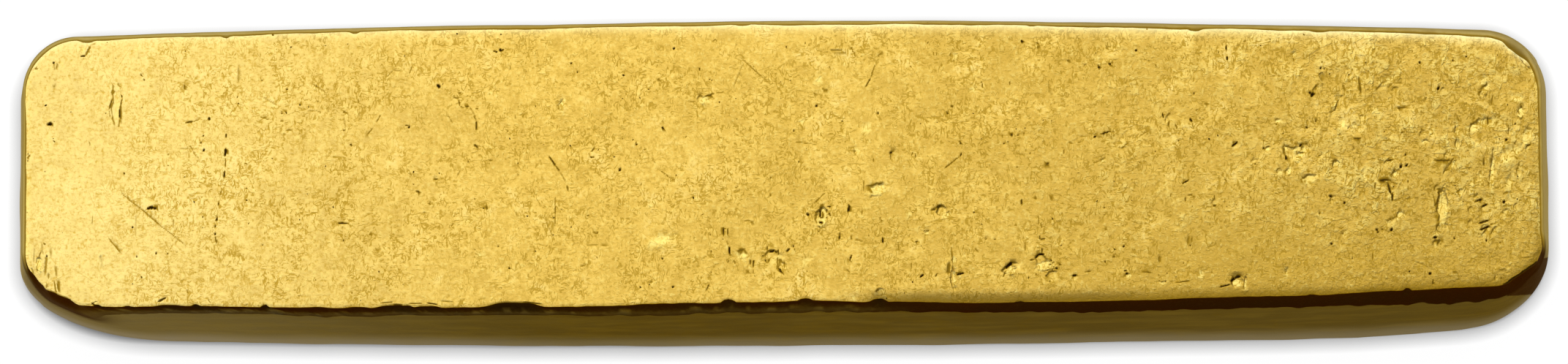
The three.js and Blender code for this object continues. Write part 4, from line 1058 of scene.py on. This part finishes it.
def knock_corner(form, wear, spot):
    """Presses what stands beyond the knocked corner's facet back onto it.

    Also returns how far each point lies inside the parts darkened with painted shade: what was
    pressed back, and the band below. It is in millimetres from 0 to 1, where 0.5 is the border.
    """
    face = face_plan(form)
    radius = form.face_radius / MM
    heading = Matrix.Rotation(wear.knock_turn, 3, "Z") @ Vector((1, 0, 0))
    upper_edge = Vector((face.half - radius, radius - face.end, BAR_HEIGHT))
    upper_edge += heading * (radius - wear.knock_setback / MM - KNOCK_SINK)
    slope = wear.knock_slope
    outward = heading * math.sin(slope) + Vector((0, 0, math.cos(slope)))
    beyond = (spot - np.array(upper_edge)) @ np.array(outward)
    beyond = beyond + 0.04 * rough_noise(spot[:, 0], spot[:, 1] + spot[:, 2], 1.2, 61.0, 2)
    pressed = np.clip(beyond, 0, None)
    x, y, z = spot.T
    level_y = y - KNOCK_LEAN * (BAR_HEIGHT - z)
    darkened = np.minimum(beyond + KNOCK_MARGIN, z - KNOCK_FOOT)
    band = np.minimum(level_y - KNOCK_TO, KNOCK_FROM - level_y)
    band = np.minimum(band, np.minimum(x - KNOCK_START, BAR_HEIGHT - KNOCK_BRIM - z))
    knocked = np.clip(0.5 + np.maximum(darkened, band), 0, 1)
    return spot - pressed[:, None] * np.array(outward), knocked


# ---- Unwrapping ------------------------------------------------------------------------

SHEET = 81.0  # millimetres of the upper face along one side of the map
WALL_SCALE, UNDERSIDE_SCALE = 0.5, 0.33
# Where each part of the bar is laid on the map, in millimetres of it, counted from the
# bar's middle, or from the face's edge down on the walls
LEFT_HALF, RIGHT_HALF = (69, 13), (2, 39)
WALLS_U, FRONT_WALL_V, BACK_WALL_V = 35, 53.5, 62.5
START_END_U, FAR_END_U, ENDS_V = 8, 24, 71.5
UNDERSIDE_U, UNDERSIDE_V = 56, 75.5
UNDERSIDE_SQUEEZE = 0.9  # of its width


def unwrap_bar(mesh, x, y, fall):
    """Lays the face out in two large strips, and the walls and the underside smaller."""
    totals = np.empty(len(mesh.polygons), np.int32)
    mesh.polygons.foreach_get("loop_total", totals)
    loop_vert = np.empty(len(mesh.loops), np.int32)
    mesh.loops.foreach_get("vertex_index", loop_vert)
    owner = np.repeat(np.arange(len(totals)), totals)
    ring = read_layer(mesh, "ring")[loop_vert]

    def face_mean(values):
        return (np.bincount(owner, values) / totals)[owner]

    lx, ly, down = x[loop_vert], y[loop_vert], fall[loop_vert]
    on_top = face_mean(ring) == 0
    under = face_mean(ring) == RINGS
    middle_x, middle_y = face_mean(lx), face_mean(ly)
    at_end = np.abs(middle_x) - BAR_LENGTH / 2 > np.abs(middle_y) - BAR_WIDTH / 2

    left = middle_x < 0
    u = lx * WALL_SCALE + WALLS_U
    v = down * WALL_SCALE + np.where(middle_y < 0, FRONT_WALL_V, BACK_WALL_V)
    u = np.where(at_end, ly * WALL_SCALE + np.where(left, START_END_U, FAR_END_U), u)
    v = np.where(at_end, down * WALL_SCALE + ENDS_V, v)
    u = np.where(on_top, lx + np.where(left, LEFT_HALF[0], RIGHT_HALF[0]), u)
    v = np.where(on_top, ly + np.where(left, LEFT_HALF[1], RIGHT_HALF[1]), v)
    u = np.where(under, UNDERSIDE_U + lx * UNDERSIDE_SCALE, u)
    v = np.where(under, UNDERSIDE_V + ly * UNDERSIDE_SCALE * UNDERSIDE_SQUEEZE, v)
    layer = mesh.uv_layers.new(name="OFBake")
    spread = np.stack([u, v], axis=-1) / SHEET
    layer.data.foreach_set("uv", spread.astype(np.float32).ravel())


def finish_mesh(mesh):
    """Smooth shading with the creases kept, and the layout layers taken off."""
    mesh.shade_smooth()
    mesh.set_sharp_from_angle(angle=math.radians(CREASE))
    for name in ("run", "across", "ring"):
        mesh.attributes.remove(mesh.attributes[name])
    mesh.validate()


# ---- Shader building blocks ------------------------------------------------------------


HAIR_SCATTER = 0.16  # cells in a millimetre
HAIR_CHANCE = 0.8  # share of the cells that hold a hairline
HAIR_REACH, HAIR_WIDTH = 3.6, 0.06  # half of its length, and of its width, in millimetres
SCRIBBLE_WIDTH = 0.09  # of the noise's range, on each side of its middle
GRAZING_TINT = (0.50, 0.38, 0.16, 1.0)


class Wiring:
    """Adds nodes to a tree and links their inputs by name."""

    def __init__(self, tree):
        self.tree = tree

    def add(self, kind, inputs=None, **settings):
        node = self.tree.nodes.new(kind)
        for key, value in settings.items():
            setattr(node, key, value)
        for key, value in (inputs or {}).items():
            self.feed(node.inputs[key], value)
        return node

    def feed(self, socket, value):
        """Links a socket, or sets it: a colour gets its alpha here."""
        if isinstance(value, bpy.types.NodeSocket):
            self.tree.links.new(value, socket)
        else:
            socket.default_value = (*value, 1.0) if isinstance(value, Color) else value

    def math(self, operation, *values, clamp=False):
        node = self.add("ShaderNodeMath", dict(enumerate(values)), operation=operation)
        node.use_clamp = clamp
        return node.outputs[0]

    def times(self, first, second, **settings):
        return self.math("MULTIPLY", first, second, **settings)

    def plus(self, first, second, **settings):
        return self.math("ADD", first, second, **settings)

    def minus(self, first, second, **settings):
        return self.math("SUBTRACT", first, second, **settings)

    def most(self, first, *others):
        """The largest of several values."""
        for other in others:
            first = self.math("MAXIMUM", first, other)
        return first

    def vector(self, operation, first, second):
        inputs = {0: first, 1: second}
        return self.add("ShaderNodeVectorMath", inputs, operation=operation).outputs[0]

    def scaled(self, vector, x, y, z):
        return self.vector("MULTIPLY", vector, (x, y, z))

    def split(self, vector):
        return self.add("ShaderNodeSeparateXYZ", {"Vector": vector}).outputs

    def noise(self, vector, scale, detail=2.0, roughness=0.5, distortion=0.0):
        inputs = {
            "Vector": vector, "Scale": scale, "Detail": detail,
            "Roughness": roughness, "Distortion": distortion,
        }
        return self.add("ShaderNodeTexNoise", inputs).outputs["Fac"]

    def push(self, vector, scale, detail, amount):
        """A wandering sideways shift, to bend a texture with."""
        inputs = {"Vector": vector, "Scale": scale, "Detail": detail}
        wander = self.add("ShaderNodeTexNoise", inputs).outputs["Color"]
        return self.scaled(wander, amount, amount, 0.0)

    def cells(self, vector, scale, **settings):
        """Outputs of a flat scatter of cells."""
        inputs = {"Vector": vector, "Scale": scale}
        return self.add(
            "ShaderNodeTexVoronoi", inputs, voronoi_dimensions="2D", **settings
        ).outputs

    def ramp(self, value, low, high, to_low=0.0, to_high=1.0):
        inputs = {
            "Value": value, "From Min": low, "From Max": high,
            "To Min": to_low, "To Max": to_high,
        }
        node = self.add("ShaderNodeMapRange", inputs, interpolation_type="SMOOTHSTEP")
        return node.outputs["Result"]

    def mix(self, share, first, second):
        node = self.add("ShaderNodeMix", data_type="RGBA", clamp_factor=True)
        self.feed(node.inputs["Factor"], share)
        self.feed(node.inputs[6], first)
        self.feed(node.inputs[7], second)
        return node.outputs[2]

    def attribute(self, name):
        return self.add("ShaderNodeAttribute", attribute_name=name).outputs["Fac"]


def new_material(name):
    """An empty material, and the wiring of its nodes."""
    material = bpy.data.materials.new(name)
    material.use_nodes = True
    material.node_tree.nodes.clear()
    return material, Wiring(material.node_tree)


def hairlines(w, place):
    """In some cells of a scatter, one slightly bowed line of its own length and turn."""
    cells = w.cells(place, HAIR_SCATTER)
    chance = w.split(cells["Color"])
    away = w.vector("SUBTRACT", place, cells["Position"])
    lean = w.times(w.minus(chance[0], 0.5), math.pi)
    turned = w.add("ShaderNodeVectorRotate", {"Vector": away}, rotation_type="Z_AXIS")
    w.feed(turned.inputs["Angle"], w.plus(lean, math.pi / 2))
    along, across, _ = w.split(turned.outputs[0])
    reach = w.times(HAIR_REACH, w.plus(chance[1], 0.3))
    share = w.math("DIVIDE", along, reach)
    square = w.times(share, share)
    bow = w.times(w.minus(chance[1], 0.65), w.times(reach, 0.4))
    across = w.plus(across, w.times(bow, square))
    taper = w.minus(1.0, square, clamp=True)
    width = w.plus(w.times(HAIR_WIDTH, taper), 0.00001)
    line = w.ramp(w.math("DIVIDE", w.math("ABSOLUTE", across), width), 0.0, 1.0, 1.0, 0.0)
    return w.times(line, w.math("LESS_THAN", chance[2], HAIR_CHANCE))


def face_colour(w, colours, place):
    """The gold of the upper face with its patches, and painted shade and highlight across it;
    returns how worn each spot is too.
    """
    x, y, _ = w.split(place)
    blotch = w.noise(place, 0.10, 4.0, 0.55, 0.5)
    cloud = w.noise(place, 0.75, 5.0, 0.65, 0.6)
    tone = w.plus(w.times(cloud, 0.45), w.times(blotch, 0.30))
    # Darker towards the front of the far end and dimmer from mid length on: partly a duller
    # patina, partly painted shade.
    far = w.ramp(x, 10.0, 60.0, 0.0, 0.14)
    near = w.ramp(y, -13.0, 0.0, 1.0, 0.0)
    tone = w.minus(tone, w.times(far, near))
    dimmer = w.times(w.ramp(x, 2.0, 34.0, 0.0, 0.11), w.ramp(x, 56.0, 66.0, 1.0, 0.3))
    tone = w.minus(tone, dimmer)
    # Brighter near the back edge of the far half: painted highlight.
    behind = w.times(w.ramp(y, 9.0, 11.0), w.ramp(x, 14.0, 40.0, 0.0, 0.10))
    tone = w.plus(tone, behind)
    patches = w.minus(w.noise(place, 0.45, 3.0, 0.6, 0.4), 0.5)
    patches = w.times(patches, w.ramp(x, -10.0, 50.0, 0.25, 1.3))
    tone = w.plus(tone, patches)
    # Paler towards the start: partly burnish, partly painted highlight.
    lighten = w.ramp(x, -66.0, -18.0, 1.0, 0.0)
    tone = w.plus(tone, w.times(lighten, 0.06))
    colour = w.mix(w.ramp(tone, 0.24, 0.42), colours.deep, colours.gold)
    colour = w.mix(w.ramp(tone, 0.38, 0.56, 0.0, 0.6), colour, colours.pale)
    colour = w.mix(w.times(lighten, 0.6), colour, colours.pale)
    # The scratch colour darkens the front of the far end: partly a duller patina, partly painted
    # shade.
    shade = w.times(w.ramp(x, 16.0, 46.0, 0.0, 0.50), w.ramp(y, -12.0, 1.0, 1.0, 0.0))
    return w.mix(shade, colour, colours.scratch), tone


def scribble(w, place, scale):
    """Thin wandering lines, where a soft noise crosses its middle."""
    field = w.noise(place, scale, 1.5, 0.5)
    off = w.math("ABSOLUTE", w.minus(field, 0.5))
    return w.ramp(off, 0.0, SCRIBBLE_WIDTH, 1.0, 0.0)


def fine_marks(w, place, rough):
    """Soft short strokes and dark nicks of the upper face."""
    crowding = w.noise(place, 0.22, 3.0, 0.6)
    busy = w.plus(w.ramp(crowding, 0.35, 0.62, 0.60, 1.05), w.times(rough, 0.4))
    busy = w.times(busy, w.ramp(w.split(place)[0], -66.0, -46.0, 0.5, 1.0))
    bent = w.vector("ADD", place, w.push(place, 1.3, 1.0, 0.5))
    upright = scribble(w, w.scaled(bent, 1.0, 0.35, 1.0), 3.0)
    upright = w.times(upright, w.ramp(w.noise(place, 1.5, 2.0, 0.6), 0.42, 0.57))
    level = scribble(w, w.scaled(bent, 0.35, 1.0, 1.0), 3.2)
    spots = w.noise(w.scaled(place, 1.0, 1.0, -1.0), 1.7, 2.0, 0.6)
    level = w.times(level, w.ramp(spots, 0.43, 0.58, 0.0, 0.9))
    soft = w.ramp(w.noise(w.scaled(bent, 1.0, 0.6, 1.0), 4.2, 2.0, 0.55), 0.52, 0.70, 0.0, 0.5)
    strokes = w.times(w.most(upright, level, soft), busy)
    scatter = w.cells(bent, 1.3)
    chance = w.split(scatter["Color"])
    spot = w.minus(scatter["Distance"], w.times(chance[1], 0.05))
    nicks = w.times(w.ramp(spot, 0.03, 0.07, 1.0, 0.0), w.ramp(chance[0], 0.94, 0.955))
    return strokes, w.times(nicks, w.ramp(crowding, 0.40, 0.60, 0.2, 1.0))


def weave(w, place):
    """Fine grain of rubbed metal, about 0.5 on average."""
    upright = w.noise(w.scaled(place, 1.0, 0.6, 1.0), 3.6, 3.0, 0.65)
    level = w.noise(w.scaled(place, 0.7, 1.0, 1.0), 4.1, 3.0, 0.65)
    return w.times(w.plus(upright, level), 0.5)


def crumple(w, place):
    """Crisp pads, squarish flakes, and how beaten the face is there."""
    bent = w.vector("ADD", place, w.push(place, 0.7, 2.0, 0.6))
    upright = w.noise(w.scaled(bent, 1.0, 0.5, 1.0), 1.1, 1.0, 0.4)
    level = w.noise(w.scaled(bent, 0.55, 1.0, 1.0), 1.2, 1.0, 0.4)
    pads = w.most(w.ramp(upright, 0.51, 0.545), w.ramp(level, 0.53, 0.565, 0.0, 0.9))
    group = w.ramp(w.noise(place, 0.28, 2.0, 0.5), 0.44, 0.58, 0.15, 1.0)
    group = w.times(group, w.ramp(w.split(place)[1], -9.0, -5.0))
    corner = w.vector("ADD", w.scaled(bent, 1.0, 0.7, 1.0), w.push(place, 2.6, 1.0, 0.6))
    squares = w.cells(corner, 0.95, distance="CHEBYCHEV")
    chance = w.split(squares["Color"])
    reach = w.minus(squares["Distance"], w.times(chance[1], 0.28))
    flakes = w.times(w.ramp(reach, 0.08, 0.14, 1.0, 0.0), w.ramp(chance[0], 0.72, 0.74))
    return pads, w.times(flakes, group), group


class GoldSurface:
    """Worn gold on the face, mould skin on the walls, dirt where the masks say; painted shade,
    highlights and a painted floor reflection are among its colours too.
    """

    def __init__(self, w, colours):
        self.w, self.colours = w, colours
        place = w.add("ShaderNodeTexCoord").outputs["Object"]
        self.place = place = w.scaled(place, 1 / MM, 1 / MM, 1 / MM)
        self.rub_and_highlight, self.rough = w.attribute("rub_and_highlight"), w.attribute("rough")
        self.wall = w.attribute("wall")
        self.bare = w.minus(1.0, self.wall)
        self.fabric = weave(w, place)
        pads, flakes, group = crumple(w, place)
        beaten = w.times(w.times(group, self.rough), 0.6)
        self.pads = w.times(pads, w.most(beaten, self.rub_and_highlight))
        self.flakes = w.times(flakes, self.rough)
        strokes, nicks = fine_marks(w, place, self.rough)
        self.strokes = w.times(strokes, self.bare)
        self.nicks = w.times(nicks, self.bare)
        self.hairs = w.times(hairlines(w, place), self.bare)
        specks = w.ramp(w.noise(place, 1.9, 2.0, 0.6), 0.66, 0.74, 0.0, 0.6)
        self.shine = w.most(self.rub_and_highlight, specks, self.pads)
        self.dirt_and_shade = self.dirt_and_shade_share()

    def face(self):
        """Colour of the upper face, and how worn each spot is."""
        w, colours = self.w, self.colours
        colour, tone = face_colour(w, colours, self.place)
        colour = w.mix(self.shine, colour, colours.rubbed)
        colour = w.mix(self.flakes, colour, colours.rubbed)
        between = w.minus(1.0, self.pads)
        hollow = w.times(between, w.times(self.rough, 0.40))
        colour = w.mix(hollow, colour, colours.worn)
        gleam = w.times(w.ramp(self.fabric, 0.50, 0.64, 0.0, 0.5), self.bare)
        colour = w.mix(gleam, colour, colours.rubbed)
        thread = w.ramp(self.fabric, 0.34, 0.53, 0.8, 0.0)
        thread = w.plus(thread, w.ramp(self.fabric, 0.30, 0.46, 0.3, 0.0))
        thread = w.times(thread, self.bare, clamp=True)
        colour = w.mix(thread, colour, colours.worn)
        lines = w.most(self.strokes, w.times(self.hairs, 0.6))
        colour = w.mix(w.ramp(lines, 0.0, 1.0, 0.0, 0.95), colour, colours.worn)
        colour = w.mix(w.ramp(lines, 0.35, 1.0, 0.0, 0.7), colour, colours.scratch)
        return w.mix(w.attribute("lip_highlight"), colour, colours.lip_highlight), tone

    def skin(self):
        """Colour of the walls: the front one dark with painted shade, streaked, and paler at the
        foot and towards the start with a painted reflection of the floor.
        """
        w, colours = self.w, self.colours
        streaks = w.noise(w.scaled(self.place, 0.22, 0.22, 1.2), 0.8, 4.0, 0.55, 0.4)
        skin = w.mix(w.ramp(streaks, 0.35, 0.75, 0.0, 0.06), colours.wall, colours.gold)
        x, _, z = w.split(self.place)
        # A painted reflection of the floor: paler at the foot, and more so towards the start.
        start = w.ramp(x, -62.0, -10.0, 0.38, 0.03)
        foot = w.plus(w.ramp(z, 1.0, 6.5, 0.88, 0.0), start)
        skin = w.mix(foot, skin, colours.rim)
        # Only the front wall takes this dark skin, as painted shade.
        return w.mix(w.attribute("front"), colours.side, skin)

    def dirt_and_shade_share(self):
        """Dirt in the marks, and painted shade along the dents' steep edges, on the front's
        rolled stretch, under the edge (mostly in front) and on the knocked corner.
        """
        w = self.w
        border = w.plus(w.attribute("knocked"), w.ramp(self.fabric, 0.3, 0.7, -0.04, 0.04))
        grime_and_shade = w.most(w.attribute("grime_and_shade"), w.ramp(border, 0.44, 0.56, 0.0, 0.86))
        dirt_and_shade = w.times(grime_and_shade, w.ramp(self.fabric, 0.3, 0.6, 0.94, 1.0))
        return w.most(dirt_and_shade, w.times(self.nicks, 0.8))

    def colour(self):
        """Colour of the whole bar, and how worn each spot of its face is."""
        w, colours = self.w, self.colours
        face, tone = self.face()
        colour = w.mix(self.wall, face, self.skin())
        fresh = w.times(w.ramp(self.dirt_and_shade, 0.0, 0.45), self.bare)
        colour = w.mix(fresh, colour, colours.scratch)
        darkened = w.most(w.ramp(self.dirt_and_shade, 0.35, 0.95), w.times(self.dirt_and_shade, self.wall))
        return w.mix(darkened, colour, colours.grime_and_shade), tone

    def roughness(self, tone):
        """Smoother where it is rubbed or painted bright, rougher on the walls and in the dirt and
        painted shade.
        """
        w = self.w
        shine = w.most(self.shine, self.flakes)
        roughness = w.ramp(tone, 0.25, 0.55, 0.42, 0.35)
        roughness = w.minus(roughness, w.times(shine, 0.03))
        roughness = w.plus(roughness, w.times(self.wall, 0.08))
        return w.plus(roughness, w.times(self.dirt_and_shade, 0.2), clamp=True)

    def height(self):
        """Relief too fine for the mesh, in millimetres."""
        w = self.w
        grain = w.plus(w.times(self.rough, 0.036), 0.028)
        height = w.times(self.fabric, grain)
        height = w.plus(height, w.times(self.pads, 0.027))
        height = w.plus(height, w.times(self.flakes, 0.020))
        flattened = w.minus(1.0, w.times(self.rub_and_highlight, 0.6))
        height = w.times(height, flattened)
        height = w.minus(height, w.times(self.strokes, 0.005))
        return w.minus(height, w.times(self.nicks, 0.02))


def gold_material(colours):
    """The bar's only material."""
    material, w = new_material("worn_gold")
    surface = GoldSurface(w, colours)
    colour, tone = surface.colour()
    bump = w.add("ShaderNodeBump", {"Strength": 1.0, "Distance": MM, "Height": surface.height()})
    shader = w.add("ShaderNodeBsdfPrincipled", {
        "Base Color": colour, "Metallic": 1.0, "Roughness": surface.roughness(tone),
        "Specular Tint": GRAZING_TINT, "Normal": bump.outputs["Normal"],
    })
    w.add("ShaderNodeOutputMaterial", {"Surface": shader.outputs[0]})
    return material


# ---- Operators -------------------------------------------------------------------------


def put_in_scene(name, mesh, material):
    piece = bpy.data.objects.new(name, mesh)
    bpy.context.scene.collection.objects.link(piece)
    mesh.materials.append(material)
    return piece


class INGOT_OT_build_bar(bpy.types.Operator):
    """Model the worn bar over its solid"""

    bl_idname = "ingot.build_bar"
    bl_label = "Build Bar"

    def execute(self, context):
        form, wear = context.scene.ingot_form, context.scene.ingot_wear
        bm = bar_bmesh(face_plan(form))
        mesh = bpy.data.meshes.new("worn_bar")
        bm.to_mesh(mesh)
        bm.free()
        unwrap_bar(mesh, *place_bar(mesh, form, wear))
        finish_mesh(mesh)
        bar = put_in_scene("worn_bar", mesh, gold_material(context.scene.ingot_colours))
        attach(bar, "root")
        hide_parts("ingot")
        return {"FINISHED"}


# Nooks in the paper's shade: how far they reach, in millimetres, and which way they lean
NOOKS = {
    0.8: (-0.12, 0.25, 1.0),
    1.8: (-0.05, 0.00, 1.0),
}
NOOK_IN_METAL = 0.75  # least brightness of the paper where the bar mirrors it
PAPER_GREY = (0.12, 0.12, 0.12, 1)
# In metres: half the floor's width, and the softbox's place, width and height
FLOOR_REACH = 3.0
SOFTBOX_SPOT, SOFTBOX_WIDTH, SOFTBOX_HEIGHT = (-0.08, 0.30, 0.75), 1.5, 0.72
SOFTBOX_COLOUR = (1.0, 0.99, 0.97)


def paper_material(glow):
    """White paper that keeps the bar's shadow, darkest close under the walls."""
    material, w = new_material("paper_floor")
    light = w.add("ShaderNodeLightPath").outputs
    seen = w.most(*(light[f"Is {ray} Ray"] for ray in ("Camera", "Glossy", "Transmission")))
    nooks = []
    for reach, lean in NOOKS.items():
        normal = w.add("ShaderNodeCombineXYZ", dict(zip("XYZ", lean))).outputs[0]
        inputs = {"Distance": reach * MM, "Normal": normal}
        nooks.append(w.add("ShaderNodeAmbientOcclusion", inputs).outputs["AO"])
    nook = w.times(*nooks)
    nook = w.most(nook, w.times(light["Is Glossy Ray"], NOOK_IN_METAL))
    brightness = w.times(w.times(seen, glow), nook)
    paper = w.add("ShaderNodeBsdfDiffuse", {"Color": PAPER_GREY})
    shine = w.add("ShaderNodeEmission", {"Strength": brightness})
    both = w.add("ShaderNodeAddShader", {0: paper.outputs[0], 1: shine.outputs[0]})
    w.add("ShaderNodeOutputMaterial", {"Surface": both.outputs[0]})
    return material


def make_floor(glow):
    """A sheet of paper under the bar."""
    bm = bmesh.new()
    bmesh.ops.create_grid(bm, x_segments=1, y_segments=1, size=FLOOR_REACH)
    mesh = bpy.data.meshes.new("paper_floor")
    bm.to_mesh(mesh)
    bm.free()
    floor = put_in_scene("paper_floor", mesh, paper_material(glow))
    floor.location.z = LOW.z


def make_softbox(brightness):
    """An area lamp of a given radiance, behind the bar and aimed at it."""
    lamp = bpy.data.lights.new("softbox", "AREA")
    lamp.shape = "RECTANGLE"
    lamp.size, lamp.size_y = SOFTBOX_WIDTH, SOFTBOX_HEIGHT
    lamp.color = SOFTBOX_COLOUR
    lamp.energy = brightness * math.pi * SOFTBOX_WIDTH * SOFTBOX_HEIGHT
    holder = bpy.data.objects.new("softbox", lamp)
    holder.location = SOFTBOX_SPOT
    holder.rotation_euler = (-Vector(SOFTBOX_SPOT)).to_track_quat("-Z", "Y").to_euler()
    bpy.context.scene.collection.objects.link(holder)


def make_camera(studio):
    """Looks almost straight down at the face, from a little in front of it."""
    scene = bpy.context.scene
    data = bpy.data.cameras.new("camera")
    distance = studio.camera_distance
    data.lens = data.sensor_width * distance / studio.view_width
    data.clip_end = 20
    middle = Vector((0, 0, HIGH.z))
    tilt = studio.camera_tilt
    spot = middle + distance * Vector((0, -math.sin(tilt), math.cos(tilt)))
    aim = middle - Vector((0, studio.view_below, 0))
    look = (aim - spot).to_track_quat("-Z", "Y").to_matrix()
    turn = look @ Matrix.Rotation(-studio.camera_roll, 3, "Z")
    camera = bpy.data.objects.new("camera", data)
    camera.matrix_world = Matrix.Translation(spot) @ turn.to_4x4()
    scene.collection.objects.link(camera)
    scene.camera = camera


class INGOT_OT_build_studio(bpy.types.Operator):
    """Lay the paper floor and set the lamps and the camera"""

    bl_idname = "ingot.build_studio"
    bl_label = "Build Studio"

    def execute(self, context):
        studio = context.scene.ingot_studio
        make_camera(studio)
        make_floor(studio.floor_glow)
        make_softbox(studio.softbox)
        world = bpy.data.worlds.new("room")
        world.use_nodes = True
        background = world.node_tree.nodes["Background"]
        background.inputs["Color"].default_value = (1, 1, 1, 1)
        background.inputs["Strength"].default_value = studio.surroundings
        context.scene.world = world
        context.scene.view_settings.view_transform = "Standard"
        return {"FINISHED"}


class INGOT_PT_panel(bpy.types.Panel):
    """Settings and operators of the ingot"""

    bl_idname = "INGOT_PT_panel"
    bl_label = "Cast Gold Ingot"
    bl_space_type = "VIEW_3D"
    bl_region_type = "UI"
    bl_category = "Ingot"

    def draw(self, context):
        layout = self.layout
        for operator in (INGOT_OT_build_bar, INGOT_OT_build_studio):
            layout.operator(operator.bl_idname)
        for name, group in SETTINGS.items():
            box = layout.box()
            box.label(text=name.replace("_", " ").title())
            for key in group.__annotations__:
                box.prop(getattr(context.scene, name), key)


SETTINGS = {
    "ingot_form": IngotForm,
    "ingot_wear": IngotWear,
    "ingot_colours": IngotColours,
    "ingot_studio": IngotStudio,
}
CLASSES = (
    *SETTINGS.values(), INGOT_OT_build_bar, INGOT_OT_build_studio, INGOT_PT_panel,
)


def register():
    for cls in CLASSES:
        bpy.utils.register_class(cls)
    for name, group in SETTINGS.items():
        setattr(bpy.types.Scene, name, PointerProperty(type=group))


def unregister():
    for name in SETTINGS:
        delattr(bpy.types.Scene, name)
    for cls in reversed(CLASSES):
        bpy.utils.unregister_class(cls)


def main():
    register()
    bpy.ops.ingot.build_studio()
    bpy.ops.ingot.build_bar()


if __name__ == "__main__":
    main()
